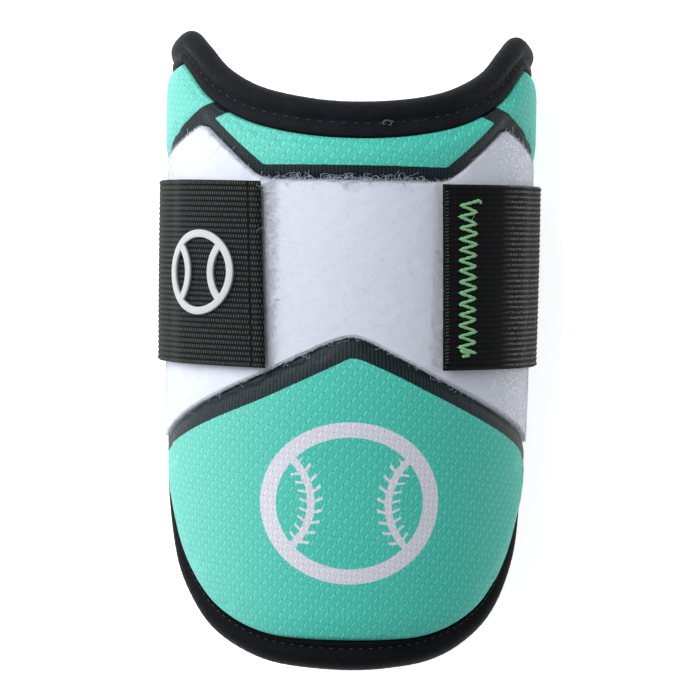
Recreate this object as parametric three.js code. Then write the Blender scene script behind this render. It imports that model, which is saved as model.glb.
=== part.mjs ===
// Batter's elbow guard: a padded half tube for the elbow and forearm, closed by one elastic strap.
// Millimetres, +Z up. The guard lies on its open side: X runs across the arm, Y along it, and the
// crown of the guard faces up. The floor is z = 0 and the guard is centred on the Z axis.
//
// Every soft piece lives in one flat pattern, as cloth is cut: "girth" is the distance round the arm
// from the crown line, "along" the distance along the arm, and "rise" the height above the outer
// face of the lining. guardPoint() folds that pattern round the arm.
import * as THREE from 'three';

// Main form
const guardLength = 174.4; // over the bound edges
const halfWidth = 48.5; // middle to the lining's outer face, at the strap
const crownRise = 39.5; // from the section's widest level up to the lining's crown
const wingTurn = 122; // degrees from the crown to the outer edge of a wing
const liningThickness = 4;
const pieceGap = 0.3; // between neighbouring pieces

// Bound edge
const rollWidth = 6.1; // across the padded roll, measured along the lining
const rollHeight = 6.2; // through the roll, square to the lining
const rollStandOut = 1.9; // how far the roll stands above the lining's outer face
const facingWidth = 2.3; // flat stitched strip beside the roll
const facingWidthElbow = 3.3; // and at its widest, over the crown at the elbow end
const facingWidthForearm = 1.6; // over the crown at the forearm end
const facingWidthLeast = 0.4; // at the two forearm corners, where the roll itself holds the panel
const facingCrownReach = 20; // girth over which it runs out on both sides of the forearm's crown
const facingThickness = 1.2;

// Outer panels
const loopThickness = 2.6; // brushed loop fabric that the strap grips
const panelThickness = 2.8; // padded printed panels at their fullest
const panelEdgeThickness = 1.4; // where a padded panel is sewn down
const panelRounding = 7; // width over which a panel swells from its seam
const chevronPeak = 3.3; // along, where the two seams of the forearm panel meet
const chevronSlope = 0.47;
const chevronRounding = 2.5;
const yokeLow = 45.6; // along, of the straight middle of the elbow panel's seam
const yokeHalf = 23; // girth, where that seam turns up
const yokePeak = 60.4; // along, of its two corners
const yokePeakGirth = 42.4;
const yokeWingSlope = 0.31; // fall of the seam from the corner towards the wing's edge

// Strap
const strapWidth = 50;
const strapThickness = 1.5;
const strapMiddle = 21.5; // along, of the strap's middle at the sides
const strapDroop = 1.7; // how much lower its two ends lie
const strapEndTurn = 27.5; // degrees from the crown to each end
const hookLength = 24; // hook tab under each end, along the strap
const hookThickness = 0.8;
const hookInset = 2.5; // how far the tab stays inside the strap's edges

// Raised badge on the left end of the strap: a ball's ring and its two seams
const badgeDiameter = 23;
const badgeThickness = 1;
const badgeLine = 2.1; // width of its raised lines
const badgeTurn = 50; // degrees from the crown to its centre
const badgeSeamBend = 0.36; // distance of a seam's middle from the centre, as a share of the radius
const badgeSeamRadius = 0.9; // radius of a seam's curve, as a share of the badge's radius
const badgeArcSteps = 10;

const degrees = Math.PI / 180;
const meanRadius = (halfWidth + crownRise) / 2;

// Sections along the arm. along: share of the guard's length from the forearm end; width, rise and
// lift: shares of the half width, of the crown's rise and of the height of the widest level.
const sections = [
  { along: 0.0, width: 0.94, rise: 0.93, lift: 0.47 },
  { along: 0.17, width: 0.965, rise: 0.975, lift: 0.65 },
  { along: 0.3, width: 0.985, rise: 0.99, lift: 0.78 },
  { along: 0.44, width: 0.993, rise: 1.0, lift: 0.92 },
  { along: 0.62, width: 1.0, rise: 1.0, lift: 1.0 },
  { along: 0.83, width: 1.003, rise: 1.0, lift: 1.0 },
  { along: 1.0, width: 1.008, rise: 1.0, lift: 0.95 },
];

// Half outline over the bound edge, from the forearm end up the right wing to the elbow end.
// turn: share of the wing's turn; along: share of half the length.
const outlineRows = [
  { turn: 0.0, along: -1.0 },
  { turn: 0.13, along: -0.993 },
  { turn: 0.238, along: -0.975 },
  { turn: 0.345, along: -0.934 },
  { turn: 0.451, along: -0.868 },
  { turn: 0.549, along: -0.775 },
  { turn: 0.623, along: -0.686 },
  { turn: 0.683, along: -0.59 },
  { turn: 0.722, along: -0.49 },
  { turn: 0.768, along: -0.37 },
  { turn: 0.813, along: -0.25 },
  { turn: 0.861, along: -0.12 },
  { turn: 0.912, along: 0.02 },
  { turn: 0.962, along: 0.17 },
  { turn: 1.0, along: 0.38 },
  { turn: 0.995, along: 0.7 },
  { turn: 0.935, along: 0.905 },
  { turn: 0.8, along: 0.965 },
  { turn: 0.65, along: 0.99 },
  { turn: 0.56, along: 0.9995 },
  { turn: 0.478, along: 0.953 },
  { turn: 0.383, along: 0.873 },
  { turn: 0.265, along: 0.81 },
  { turn: 0.13, along: 0.775 },
  { turn: 0.0, along: 0.765 },
];
const outlineSteps = 112;

// Height of the widest level of the section above the floor: the wing's roll clears the strap.
const rollTurn = wingTurn * degrees - rollWidth / 2 / meanRadius;
const axisHeight = strapThickness + pieceGap + rollHeight / 2 - crownRise * Math.cos(rollTurn);

// Smooth value of one column of a table at a share of its first column.
function tableAt(rows, column, at) {
  const last = rows.length - 2;
  let i = 0;
  while (i < last && at > rows[i + 1].along) i += 1;
  const [a, b] = [rows[i], rows[i + 1]];
  const slope = (from, to) => (rows[to][column] - rows[from][column]) / (rows[to].along - rows[from].along);
  const startSlope = slope(Math.max(i - 1, 0), i + 1);
  const endSlope = slope(i, Math.min(i + 2, rows.length - 1));
  const span = b.along - a.along;
  const t = THREE.MathUtils.clamp((at - a.along) / span, 0, 1);
  const rest = 1 - t;
  return rest * rest * (1 + 2 * t) * a[column] + t * t * (3 - 2 * t) * b[column]
    + span * t * rest * (rest * startSlope - t * endSlope);
}

// The ellipse of the lining's outer face at one place along the arm.
function sectionAt(along) {
  const share = along / guardLength + 0.5;
  return {
    half: halfWidth * tableAt(sections, 'width', share),
    rise: crownRise * tableAt(sections, 'rise', share),
    axis: axisHeight * tableAt(sections, 'lift', share),
  };
}

// A point of the flat pattern, folded round the arm and raised square to the section.
function guardPoint(girth, along, rise) {
  const section = sectionAt(along);
  const turn = girth / meanRadius;
  const normal = new THREE.Vector2(section.rise * Math.sin(turn), section.half * Math.cos(turn)).normalize();
  return new THREE.Vector3(
    section.half * Math.sin(turn) + rise * normal.x,
    along,
    section.axis + section.rise * Math.cos(turn) + rise * normal.y,
  );
}

// The outline as evenly spaced points (x: girth, y: along), anticlockwise.
function outlineLoop() {
  const right = outlineRows.map((row) => new THREE.Vector3(
    row.turn * wingTurn * degrees * meanRadius,
    row.along * guardLength / 2,
    0,
  ));
  const left = right.slice(1, -1).reverse().map((p) => new THREE.Vector3(-p.x, p.y, 0));
  const curve = new THREE.CatmullRomCurve3([...right, ...left], true, 'centripetal');
  return curve.getSpacedPoints(outlineSteps).slice(0, outlineSteps);
}

// Unit vectors of a closed loop that point out of it, from each point's two neighbours.
function outwardNormals(loop) {
  return loop.map((point, i) => {
    const before = loop[(i + loop.length - 1) % loop.length];
    const after = loop[(i + 1) % loop.length];
    return new THREE.Vector3(after.y - before.y, before.x - after.x, 0).normalize();
  });
}

// A loop moved inwards by a distance.
function insetLoop(loop, distance) {
  const normals = outwardNormals(loop);
  return loop.map((point, i) => point.clone().addScaledVector(normals[i], -distance));
}

// Lowest and highest place along at which a loop is crossed at one girth.
function spanAt(loop, girth) {
  const crossings = [];
  loop.forEach((a, i) => {
    const b = loop[(i + 1) % loop.length];
    if ((a.x - girth) * (b.x - girth) <= 0 && a.x !== b.x) {
      crossings.push(a.y + (b.y - a.y) * (girth - a.x) / (b.x - a.x));
    }
  });
  return [Math.min(...crossings), Math.max(...crossings)];
}

const widest = (loop) => Math.max(...loop.map((point) => point.x));

// Seam between the loop fabric and the forearm panel: a chevron with a soft peak.
function chevronSeam(girth) {
  return chevronPeak - chevronSlope * (Math.hypot(girth, chevronRounding) - chevronRounding);
}

// Seam between the loop fabric and the elbow panel: low across the middle, with two corners.
function yokeSeam(girth) {
  const g = Math.abs(girth);
  if (g <= yokeHalf) return yokeLow;
  if (g <= yokePeakGirth) {
    return THREE.MathUtils.mapLinear(g, yokeHalf, yokePeakGirth, yokeLow, yokePeak);
  }
  return yokePeak - yokeWingSlope * (g - yokePeakGirth);
}

// A closed solid between two faces over a grid. place(i, j, side) gives its points: column i counts
// to the right, row j along, and side is 0 on the inner face and 1 on the outer one.
function slab(columns, rows, place) {
  const positions = [];
  const index = [];
  const at = (i, j, side) => ((side * (columns + 1)) + i) * (rows + 1) + j;
  for (const side of [0, 1]) {
    for (let i = 0; i <= columns; i += 1) {
      for (let j = 0; j <= rows; j += 1) positions.push(...place(i, j, side).toArray());
    }
  }
  const quad = (a, b, c, d) => index.push(a, b, c, a, c, d);
  for (let i = 0; i < columns; i += 1) {
    for (let j = 0; j < rows; j += 1) {
      quad(at(i, j, 1), at(i + 1, j, 1), at(i + 1, j + 1, 1), at(i, j + 1, 1));
      quad(at(i, j, 0), at(i, j + 1, 0), at(i + 1, j + 1, 0), at(i + 1, j, 0));
    }
    quad(at(i, 0, 0), at(i + 1, 0, 0), at(i + 1, 0, 1), at(i, 0, 1));
    quad(at(i, rows, 0), at(i, rows, 1), at(i + 1, rows, 1), at(i + 1, rows, 0));
  }
  for (let j = 0; j < rows; j += 1) {
    quad(at(0, j, 0), at(0, j, 1), at(0, j + 1, 1), at(0, j + 1, 0));
    quad(at(columns, j, 0), at(columns, j + 1, 0), at(columns, j + 1, 1), at(columns, j, 1));
  }
  return solid(positions, index);
}

function solid(positions, index) {
  const geometry = new THREE.BufferGeometry();
  geometry.setAttribute('position', new THREE.Float32BufferAttribute(positions, 3));
  geometry.setIndex(index);
  geometry.computeVertexNormals();
  return geometry;
}

// Girths of a panel's columns, even between the places where a seam bends, so that two panels that
// meet at a seam share its bends.
function stations(reach) {
  const bends = [0, chevronRounding, yokeHalf, yokePeakGirth, reach];
  const steps = [1, 5, 4, 9];
  const right = [];
  steps.forEach((count, section) => {
    for (let k = 0; k < count; k += 1) {
      const last = section === steps.length - 1;
      const share = last ? Math.sin(k / count * Math.PI / 2) : k / count;
      right.push(THREE.MathUtils.lerp(bends[section], bends[section + 1], share));
    }
  });
  right.push(reach);
  return [...right.slice(1).reverse().map((girth) => -girth), ...right];
}

// A slab of the flat pattern inside a loop, between two seams given as functions of the girth.
// swell(edge) gives the outer face's rise at a distance from the nearest edge.
function panel({ rows, loop, lowSeam, highSeam, inner, swell, least }) {
  const reach = reachOf(loop, lowSeam, highSeam, least);
  const girths = stations(reach);
  return slab(girths.length - 1, rows, (i, j, side) => {
    const girth = girths[i];
    const [low, high] = panelSpan(loop, lowSeam, highSeam, girth);
    const share = (1 - Math.cos(j / rows * Math.PI)) / 2;
    const along = low + (high - low) * share;
    const edge = Math.min(along - low, high - along, reach - Math.abs(girth));
    return guardPoint(girth, along, side ? swell(edge) : inner);
  });
}

// Where a panel starts and ends along the arm at one girth.
function panelSpan(loop, lowSeam, highSeam, girth) {
  const [low, high] = spanAt(loop, girth);
  return [
    lowSeam ? Math.max(low, lowSeam(girth)) : low,
    highSeam ? Math.min(high, highSeam(girth)) : high,
  ];
}

// The girth at which a panel is still at least so long along the arm.
function reachOf(loop, lowSeam, highSeam, least) {
  let reach = widest(loop) - pieceGap;
  const lengthAt = (girth) => {
    const [low, high] = panelSpan(loop, lowSeam, highSeam, girth);
    return high - low;
  };
  while (lengthAt(reach) < least) reach -= pieceGap;
  return reach;
}

// A padded panel swells from its sewn edge to its full thickness.
function pillow(edge) {
  const share = THREE.MathUtils.clamp(edge / panelRounding, 0, 1);
  const fullness = Math.sin(share * Math.PI / 2);
  return pieceGap + panelEdgeThickness + (panelThickness - panelEdgeThickness) * fullness;
}

// Width of the facing at a point of the lining's edge: it widens over the crown at the elbow end and
// almost runs out at the two corners of the forearm end.
function facingWidthAt(point) {
  const { lerp, smoothstep } = THREE.MathUtils;
  const elbow = lerp(facingWidth, facingWidthElbow, Math.max(Math.cos(point.x / meanRadius), 0));
  const crown = Math.exp(-((point.x / facingCrownReach) ** 2));
  const forearm = lerp(facingWidthLeast, facingWidthForearm, crown);
  return point.y > 0 ? elbow : lerp(facingWidth, forearm, smoothstep(-point.y, 0, 30));
}

const outline = outlineLoop();
const liningLoop = insetLoop(outline, rollWidth + pieceGap);
const outward = outwardNormals(liningLoop);
const panelLoop = liningLoop.map((point, i) => (
  point.clone().addScaledVector(outward[i], -facingWidthAt(point) - pieceGap)
));

function liningGeometry() {
  return panel({
    rows: 14,
    loop: liningLoop,
    inner: -liningThickness,
    swell: () => 0,
    least: strapWidth,
  });
}

// The roll and its facing: one profile carried round the lining's edge. out is the distance out of
// the edge, rise the height above the lining's outer face.
function bindingGeometry() {
  const bottom = rollStandOut - rollHeight;
  const middle = (rollStandOut + bottom) / 2;
  const arcSteps = 7;
  const positions = [];
  const index = [];
  const profileAt = (point) => {
    const facing = facingWidthAt(point);
    const profile = [
      { out: -facing, rise: pieceGap },
      { out: pieceGap, rise: pieceGap },
      { out: pieceGap, rise: bottom + rollHeight / 4 },
    ];
    for (let k = 0; k <= arcSteps; k += 1) {
      const angle = (-0.62 + 1.3 * k / arcSteps) * Math.PI;
      profile.push({
        out: pieceGap + rollWidth / 2 + rollWidth / 2 * Math.cos(angle),
        rise: middle + rollHeight / 2 * Math.sin(angle),
      });
    }
    profile.push({ out: 0, rise: pieceGap + facingThickness });
    profile.push({ out: -facing, rise: pieceGap + facingThickness * 0.8 });
    return profile;
  };
  const count = profileAt(liningLoop[0]).length;
  liningLoop.forEach((point, i) => {
    for (const { out, rise } of profileAt(point)) {
      const flat = point.clone().addScaledVector(outward[i], out);
      positions.push(...guardPoint(flat.x, flat.y, rise).toArray());
    }
    for (let k = 0; k < count; k += 1) {
      const next = (i + 1) % liningLoop.length;
      const turnBy = (k + 1) % count;
      const [a, b] = [i * count + k, i * count + turnBy];
      const [c, d] = [next * count + turnBy, next * count + k];
      index.push(a, c, b, a, d, c);
    }
  });
  return solid(positions, index);
}

const loopTop = pieceGap + loopThickness;
const hookTop = loopTop + pieceGap + hookThickness;
const hookTurn = strapEndTurn + hookLength / meanRadius / degrees;
const settleTurn = 10; // degrees over which the strap comes down off its hook tab
const leaveTurn = wingTurn - 18; // where the strap leaves the wing for the flat span behind

// Rise of the strap's middle layer above the lining at one turn.
function strapRise(turn) {
  const onLoop = loopTop + pieceGap;
  const onHook = hookTop + pieceGap;
  const share = THREE.MathUtils.smoothstep(Math.abs(turn), hookTurn, hookTurn + settleTurn);
  return THREE.MathUtils.lerp(onHook, onLoop, share) + strapThickness / 2;
}

function strapAlong(turn, across) {
  const droop = strapDroop * THREE.MathUtils.clamp((90 - Math.abs(turn)) / (90 - strapEndTurn), 0, 1);
  return strapMiddle - droop + across;
}

// The strap's middle layer in one plane across the arm, from its right end to the middle of the
// flat span: down the side of the guard, round the wing's roll and along the floor.
function strapHalf(across) {
  const sideSteps = 18;
  const points = [];
  for (let k = 0; k <= sideSteps; k += 1) {
    const turn = THREE.MathUtils.lerp(strapEndTurn, leaveTurn, k / sideSteps);
    points.push(guardPoint(turn * degrees * meanRadius, strapAlong(turn, across), strapRise(turn)));
  }
  const leave = points[sideSteps];
  const along = strapAlong(90, across);
  const roll = guardPoint(rollTurn * meanRadius, along, rollStandOut - rollHeight / 2);
  const heading = leave.clone().sub(points[sideSteps - 1]).setY(0).normalize();
  const floor = new THREE.Vector3(roll.x - rollWidth, along, strapThickness / 2);
  const reach = leave.z - floor.z;
  const bend = new THREE.CubicBezierCurve3(
    leave,
    leave.clone().addScaledVector(heading, reach * 0.85),
    floor.clone().setX(roll.x + rollWidth * 0.7),
    floor,
  );
  points.push(...bend.getPoints(9).slice(1));
  points.push(floor.clone().setX(floor.x / 2), floor.clone().setX(0));
  return points;
}

function strapGeometry() {
  const rows = 4;
  const lines = [];
  for (let j = 0; j <= rows; j += 1) {
    const half = strapHalf((j / rows - 0.5) * strapWidth);
    const other = half.slice(0, -1).reverse().map((p) => new THREE.Vector3(-p.x, p.y, p.z));
    lines.push([...half, ...other]);
  }
  const columns = lines[0].length - 1;
  return slab(columns, rows, (i, j, side) => {
    const line = lines[j];
    const before = line[Math.max(i - 1, 0)];
    const after = line[Math.min(i + 1, columns)];
    const heading = after.clone().sub(before).setY(0).normalize();
    const inward = new THREE.Vector3(heading.z, 0, -heading.x);
    return line[i].clone().addScaledVector(inward, (0.5 - side) * strapThickness);
  });
}

// A hook tab lies between the loop fabric and one end of the strap.
function hookGeometry(side) {
  const rows = 4;
  const columns = 10;
  const from = strapEndTurn + hookInset / meanRadius / degrees;
  return slab(columns, rows, (i, j, face) => {
    const share = side > 0 ? i / columns : 1 - i / columns;
    const turn = side * THREE.MathUtils.lerp(from, hookTurn, share);
    const along = strapAlong(turn, (j / rows - 0.5) * (strapWidth - 2 * hookInset));
    return guardPoint(turn * degrees * meanRadius, along, face ? hookTop : loopTop + pieceGap);
  });
}

// Points of an arc round a centre on the badge's cross line, with its last point left out.
function badgeArc(centre, radius, from, to) {
  const points = [];
  for (let k = 0; k < badgeArcSteps; k += 1) {
    const angle = THREE.MathUtils.lerp(from, to, k / badgeArcSteps);
    points.push(new THREE.Vector2(centre + radius * Math.cos(angle), radius * Math.sin(angle)));
  }
  return points;
}

// The badge as a flat shape: a ring with two curved bars in it, so three openings. Each bar follows
// a circle beside the ball, and the left half of the shape is the right half turned round.
function badgeShape() {
  const outer = badgeDiameter / 2;
  const inner = outer - badgeLine;
  const seamRadius = badgeSeamRadius * outer;
  const centre = badgeSeamBend * outer + seamRadius;
  const meet = (radius) => {
    const x = (centre * centre + inner * inner - radius * radius) / (2 * centre);
    const y = Math.sqrt(inner * inner - x * x);
    return { ring: Math.atan2(y, x), bar: Math.atan2(y, x - centre) };
  };
  const turned = (points) => points.map((point) => point.clone().negate());
  const nearRing = seamRadius - badgeLine / 2;
  const nearMiddle = seamRadius + badgeLine / 2;
  const side = meet(nearRing);
  const sideHole = [
    ...badgeArc(0, inner, -side.ring, side.ring),
    ...badgeArc(centre, nearRing, side.bar, 2 * Math.PI - side.bar),
  ];
  const middle = meet(nearMiddle);
  const halfMiddle = [
    ...badgeArc(centre, nearMiddle, 2 * Math.PI - middle.bar, middle.bar),
    ...badgeArc(0, inner, middle.ring, Math.PI - middle.ring),
  ];
  const shape = new THREE.Shape().absarc(0, 0, outer, 0, 2 * Math.PI, false);
  for (const hole of [sideHole, turned(sideHole), [...halfMiddle, ...turned(halfMiddle)]]) {
    shape.holes.push(new THREE.Path().setFromPoints(hole));
  }
  return shape;
}

// The flat badge is bent onto the strap.
function badgeGeometry() {
  const geometry = new THREE.ExtrudeGeometry(badgeShape(), {
    depth: badgeThickness,
    bevelEnabled: false,
    curveSegments: 2 * badgeArcSteps,
  });
  geometry.deleteAttribute('normal');
  geometry.deleteAttribute('uv');
  const position = geometry.getAttribute('position');
  const centreTurn = -badgeTurn;
  const along = strapAlong(centreTurn, 0);
  const under = strapRise(centreTurn) + strapThickness / 2 + pieceGap;
  const section = sectionAt(along);
  const bendRadius = Math.hypot(
    (section.half + under) * Math.cos(centreTurn * degrees),
    (section.rise + under) * Math.sin(centreTurn * degrees),
  );
  for (let i = 0; i < position.count; i += 1) {
    const turn = centreTurn * degrees + position.getX(i) / bendRadius;
    const point = guardPoint(turn * meanRadius, along + position.getY(i), under + position.getZ(i));
    position.setXYZ(i, point.x, point.y, point.z);
  }
  geometry.computeVertexNormals();
  return geometry;
}

const guard = new THREE.Group();

function add(name, geometry, color, roughness) {
  const mesh = new THREE.Mesh(geometry, new THREE.MeshStandardMaterial({ color, roughness, metalness: 0 }));
  mesh.name = name;
  guard.add(mesh);
}

add('liner', liningGeometry(), 0x17191b, 0.9);
add('edge_binding', bindingGeometry(), 0x1c1d21, 0.7);
add('lower_panel', panel({
  rows: 12,
  loop: panelLoop,
  highSeam: (girth) => chevronSeam(girth) - pieceGap / 2,
  inner: pieceGap,
  swell: pillow,
  least: pieceGap * 8,
}), 0x5fd3b7, 0.75);
add('loop_panel', panel({
  rows: 8,
  loop: panelLoop,
  lowSeam: (girth) => chevronSeam(girth) + pieceGap / 2,
  highSeam: (girth) => yokeSeam(girth) - pieceGap / 2,
  inner: pieceGap,
  swell: () => loopTop,
  least: strapWidth / 2,
}), 0xe9ecf1, 0.95);
add('upper_panel', panel({
  rows: 6,
  loop: panelLoop,
  lowSeam: (girth) => yokeSeam(girth) + pieceGap / 2,
  inner: pieceGap,
  swell: pillow,
  least: pieceGap * 8,
}), 0x5fd3b7, 0.75);
add('hook_tab_left', hookGeometry(-1), 0x141517, 0.9);
add('hook_tab_right', hookGeometry(1), 0x141517, 0.9);
add('strap', strapGeometry(), 0x202224, 0.8);
add('strap_badge', badgeGeometry(), 0xc4c6ca, 0.55);

export default guard;
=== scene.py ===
# %% [markdown]
# # A batter's elbow guard, dressed
# The guard is a padded half tube of cloth and foam. It lies on its open side, and one elastic strap
# closes it. The CAD model gives its solids, and this script covers each of them with cloth.
# Everything is in metres, in the CAD model's own frame: X across the arm, Y along it, Z up.

import math

import bpy
import numpy as np
from mathutils import Matrix


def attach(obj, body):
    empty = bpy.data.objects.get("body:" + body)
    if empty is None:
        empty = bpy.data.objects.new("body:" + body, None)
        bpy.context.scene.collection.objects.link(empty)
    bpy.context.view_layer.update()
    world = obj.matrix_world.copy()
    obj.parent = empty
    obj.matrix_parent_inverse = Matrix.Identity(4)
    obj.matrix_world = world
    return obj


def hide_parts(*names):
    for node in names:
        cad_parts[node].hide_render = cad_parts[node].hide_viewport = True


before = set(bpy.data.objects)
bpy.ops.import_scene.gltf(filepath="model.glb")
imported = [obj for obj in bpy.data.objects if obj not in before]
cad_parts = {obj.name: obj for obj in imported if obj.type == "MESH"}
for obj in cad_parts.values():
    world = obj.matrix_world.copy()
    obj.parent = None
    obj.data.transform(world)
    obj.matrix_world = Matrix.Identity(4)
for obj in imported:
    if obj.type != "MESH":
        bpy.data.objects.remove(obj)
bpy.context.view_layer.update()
MM = 0.001

# %% [markdown]
# ## The flat pattern
# Cloth is cut flat and then folded round the arm. So each piece is drawn in a flat pattern first:
# girth is the distance round the arm from the crown, along the distance along the arm, and rise the
# height above the lining. One function folds all of them. They could be modelled in place
# instead, but then no seam would meet its neighbour exactly, and a weave would have nothing to follow.

# %% Sizes of the pattern, in millimetres
GUARD_LENGTH, HALF_WIDTH, CROWN_RISE, WING_TURN = 174.4, 48.5, 39.5, math.radians(122)
LINING_THICKNESS, GAP = 4.0, 0.3
ROLL_WIDTH, ROLL_HEIGHT, ROLL_STAND_OUT = 6.1, 6.2, 1.9
FACING_WIDTH, FACING_WIDTH_ELBOW, FACING_WIDTH_FOREARM, FACING_WIDTH_LEAST = 2.3, 3.3, 1.6, 0.4
MEAN_RADIUS = (HALF_WIDTH + CROWN_RISE) / 2
ROLL_TURN = WING_TURN - ROLL_WIDTH / 2 / MEAN_RADIUS
AXIS_HEIGHT = 1.5 + GAP + ROLL_HEIGHT / 2 - CROWN_RISE * math.cos(ROLL_TURN)
SECTIONS = np.array([
    # place along, width, rise and height of the widest level, as shares
    (0.0, 0.94, 0.93, 0.47), (0.17, 0.965, 0.975, 0.65), (0.3, 0.985, 0.99, 0.78),
    (0.44, 0.993, 1.0, 0.92), (0.62, 1.0, 1.0, 1.0), (0.83, 1.003, 1.0, 1.0), (1.0, 1.008, 1.0, 0.95),
])
OUTLINE = np.array([
    # turn as a share of the wing's turn, place along as a share of half the length
    (0, -1), (0.13, -0.993), (0.238, -0.975), (0.345, -0.934), (0.451, -0.868), (0.549, -0.775),
    (0.623, -0.686), (0.683, -0.59), (0.722, -0.49), (0.768, -0.37), (0.813, -0.25), (0.861, -0.12),
    (0.912, 0.02), (0.962, 0.17), (1, 0.38), (0.995, 0.7), (0.935, 0.905), (0.8, 0.965),
    (0.65, 0.99), (0.56, 0.9995), (0.478, 0.953), (0.383, 0.873), (0.265, 0.81), (0.13, 0.775),
    (0, 0.765),
])


# %% Fold the pattern round the arm
def smooth_table(x, y, at):
    """Smooth value of a table: on each span a cubic that has the slope between its two neighbours at either end."""
    last = len(x) - 1
    i = np.clip(np.searchsorted(x, at, side="right") - 1, 0, last - 1)
    before, after = np.maximum(i - 1, 0), np.minimum(i + 2, last)
    start = (y[i + 1] - y[before]) / (x[i + 1] - x[before])
    end = (y[after] - y[i]) / (x[after] - x[i])
    span = x[i + 1] - x[i]
    t = np.clip((at - x[i]) / span, 0, 1)
    r = 1 - t
    return r * r * (1 + 2 * t) * y[i] + t * t * (3 - 2 * t) * y[i + 1] + span * t * r * (r * start - t * end)


def table_at(column, share):
    """One column of the table of sections at a share of the guard's length."""
    return smooth_table(SECTIONS[:, 0], SECTIONS[:, column], share)


def guard_point(girth, along, rise):
    """Folds the pattern: the turn is girth over the mean radius, the point lies on the section's ellipse at that turn,
    and rise carries it out along the ellipse's normal. Millimetres in, metres out."""
    girth, along, rise = np.broadcast_arrays(*(np.asarray(v, float) for v in (girth, along, rise)))
    share = along / GUARD_LENGTH + 0.5
    half, crown = HALF_WIDTH * table_at(1, share), CROWN_RISE * table_at(2, share)
    axis = AXIS_HEIGHT * table_at(3, share)
    turn = girth / MEAN_RADIUS
    nx, nz = crown * np.sin(turn), half * np.cos(turn)
    size = np.hypot(nx, nz)
    return MM * np.stack([half * np.sin(turn) + rise * nx / size, along, axis + crown * np.cos(turn) + rise * nz / size], -1)


# %% The outline of the pattern
def rounded_loop(points, count):
    """A closed centripetal Catmull-Rom curve through the points: on each span a cubic whose end slopes come from the
    neighbours, weighted by the root of their distances. It is then walked at even steps."""
    p0, p1, p2, p3 = (np.roll(points, k, 0) for k in (1, 0, -1, -2))
    d0, d1, d2 = (np.linalg.norm(b - a, axis=1, keepdims=True) ** 0.5 for a, b in ((p0, p1), (p1, p2), (p2, p3)))
    t1 = ((p1 - p0) / d0 - (p2 - p0) / (d0 + d1) + (p2 - p1) / d1) * d1
    t2 = ((p2 - p1) / d1 - (p3 - p1) / (d1 + d2) + (p3 - p2) / d2) * d1
    t = (np.arange(24) / 24)[None, :, None]
    c = [v[:, None, :] for v in (p1, t1, -3 * p1 + 3 * p2 - 2 * t1 - t2, 2 * p1 - 2 * p2 + t1 + t2)]
    dense = (c[0] + t * (c[1] + t * (c[2] + t * c[3]))).reshape(-1, 2)
    dense = np.vstack([dense, dense[:1]])
    walked = np.concatenate([[0], np.cumsum(np.linalg.norm(np.diff(dense, axis=0), axis=1))])
    at = np.arange(count) / count * walked[-1]
    return np.stack([np.interp(at, walked, dense[:, k]) for k in (0, 1)], -1), walked[-1]


def outward(loop):
    """Unit normals of an anticlockwise loop: the step from the point before to the one after, turned right by a quarter."""
    step = np.roll(loop, -1, 0) - np.roll(loop, 1, 0)
    normal = np.stack([step[:, 1], -step[:, 0]], -1)
    return normal / np.linalg.norm(normal, axis=1, keepdims=True)


LOOP_STEPS = 560
right_half = OUTLINE * (WING_TURN * MEAN_RADIUS, GUARD_LENGTH / 2)
left_half = right_half[-2:0:-1] * (-1, 1)
outline, outline_length = rounded_loop(np.vstack([right_half, left_half]), LOOP_STEPS)
lining_loop = outline - outward(outline) * (ROLL_WIDTH + GAP)
loop_out = outward(lining_loop)


def ramp(value, start, end):
    """0 below start, 1 above end, and 3t^2 - 2t^3 between them."""
    t = np.clip((value - start) / (end - start), 0, 1)
    return t * t * (3 - 2 * t)


at_girth, at_along = lining_loop.T
elbow_facing = FACING_WIDTH + (FACING_WIDTH_ELBOW - FACING_WIDTH) * np.clip(np.cos(at_girth / MEAN_RADIUS), 0, 1)
forearm_facing = FACING_WIDTH_LEAST + (FACING_WIDTH_FOREARM - FACING_WIDTH_LEAST) * np.exp(-(at_girth / 20) ** 2)
facing = np.where(at_along > 0, elbow_facing, FACING_WIDTH + (forearm_facing - FACING_WIDTH) * ramp(-at_along, 0, 30))
panel_loop = lining_loop - loop_out * (facing + GAP)[:, None]
print(f"outline {outline_length:.0f} mm round")


# %% Seams of the outer panels
CHEVRON = np.array([
    # girth and along of the seam between loop fabric and forearm panel, read off the photograph
    (-80, -30.0), (-57.7, -21.8), (-40.1, -14.4), (-23, -7.0), (-12.1, -1.6), (-5, 2.0), (0, 3.3), (4.5, 1.9),
    (8.7, -0.5), (22.8, -8.0), (38.8, -15.2), (59, -22.6), (80, -30.0),
])
BAND = np.array([
    # girth and along of the lower edge of the dark band below it
    (-80, -36.5), (-48.8, -24.2), (-36.2, -19.3), (-23, -14.0), (-12, -8.5), (-4, -4.2), (0, -2.3), (5.7, -4.4),
    (20.6, -12.1), (34.2, -18.5), (48.3, -24.6), (59.4, -30.0), (80, -38.5),
])
YOKE = np.array([
    # distance from the crown line and along of the seam between loop fabric and elbow panel
    (0, 45.5), (18, 45.6), (23, 46.1), (27, 48.7), (31, 52.1), (38.5, 58.2), (41, 60.0), (42.6, 60.4), (44.5, 59.9),
    (46.5, 59.1), (53.2, 56.5), (60, 54.3), (90, 44.0),
])


def chevron_seam(girth):
    """Where the loop fabric meets the forearm panel: a peak on the crown line that falls away on both sides."""
    return smooth_table(CHEVRON[:, 0], CHEVRON[:, 1], girth)


def yoke_seam(girth):
    """Where the loop fabric meets the elbow panel: level in the middle, up to a corner, then a gentle fall on the wing."""
    return smooth_table(YOKE[:, 0], YOKE[:, 1], np.abs(girth))


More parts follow.
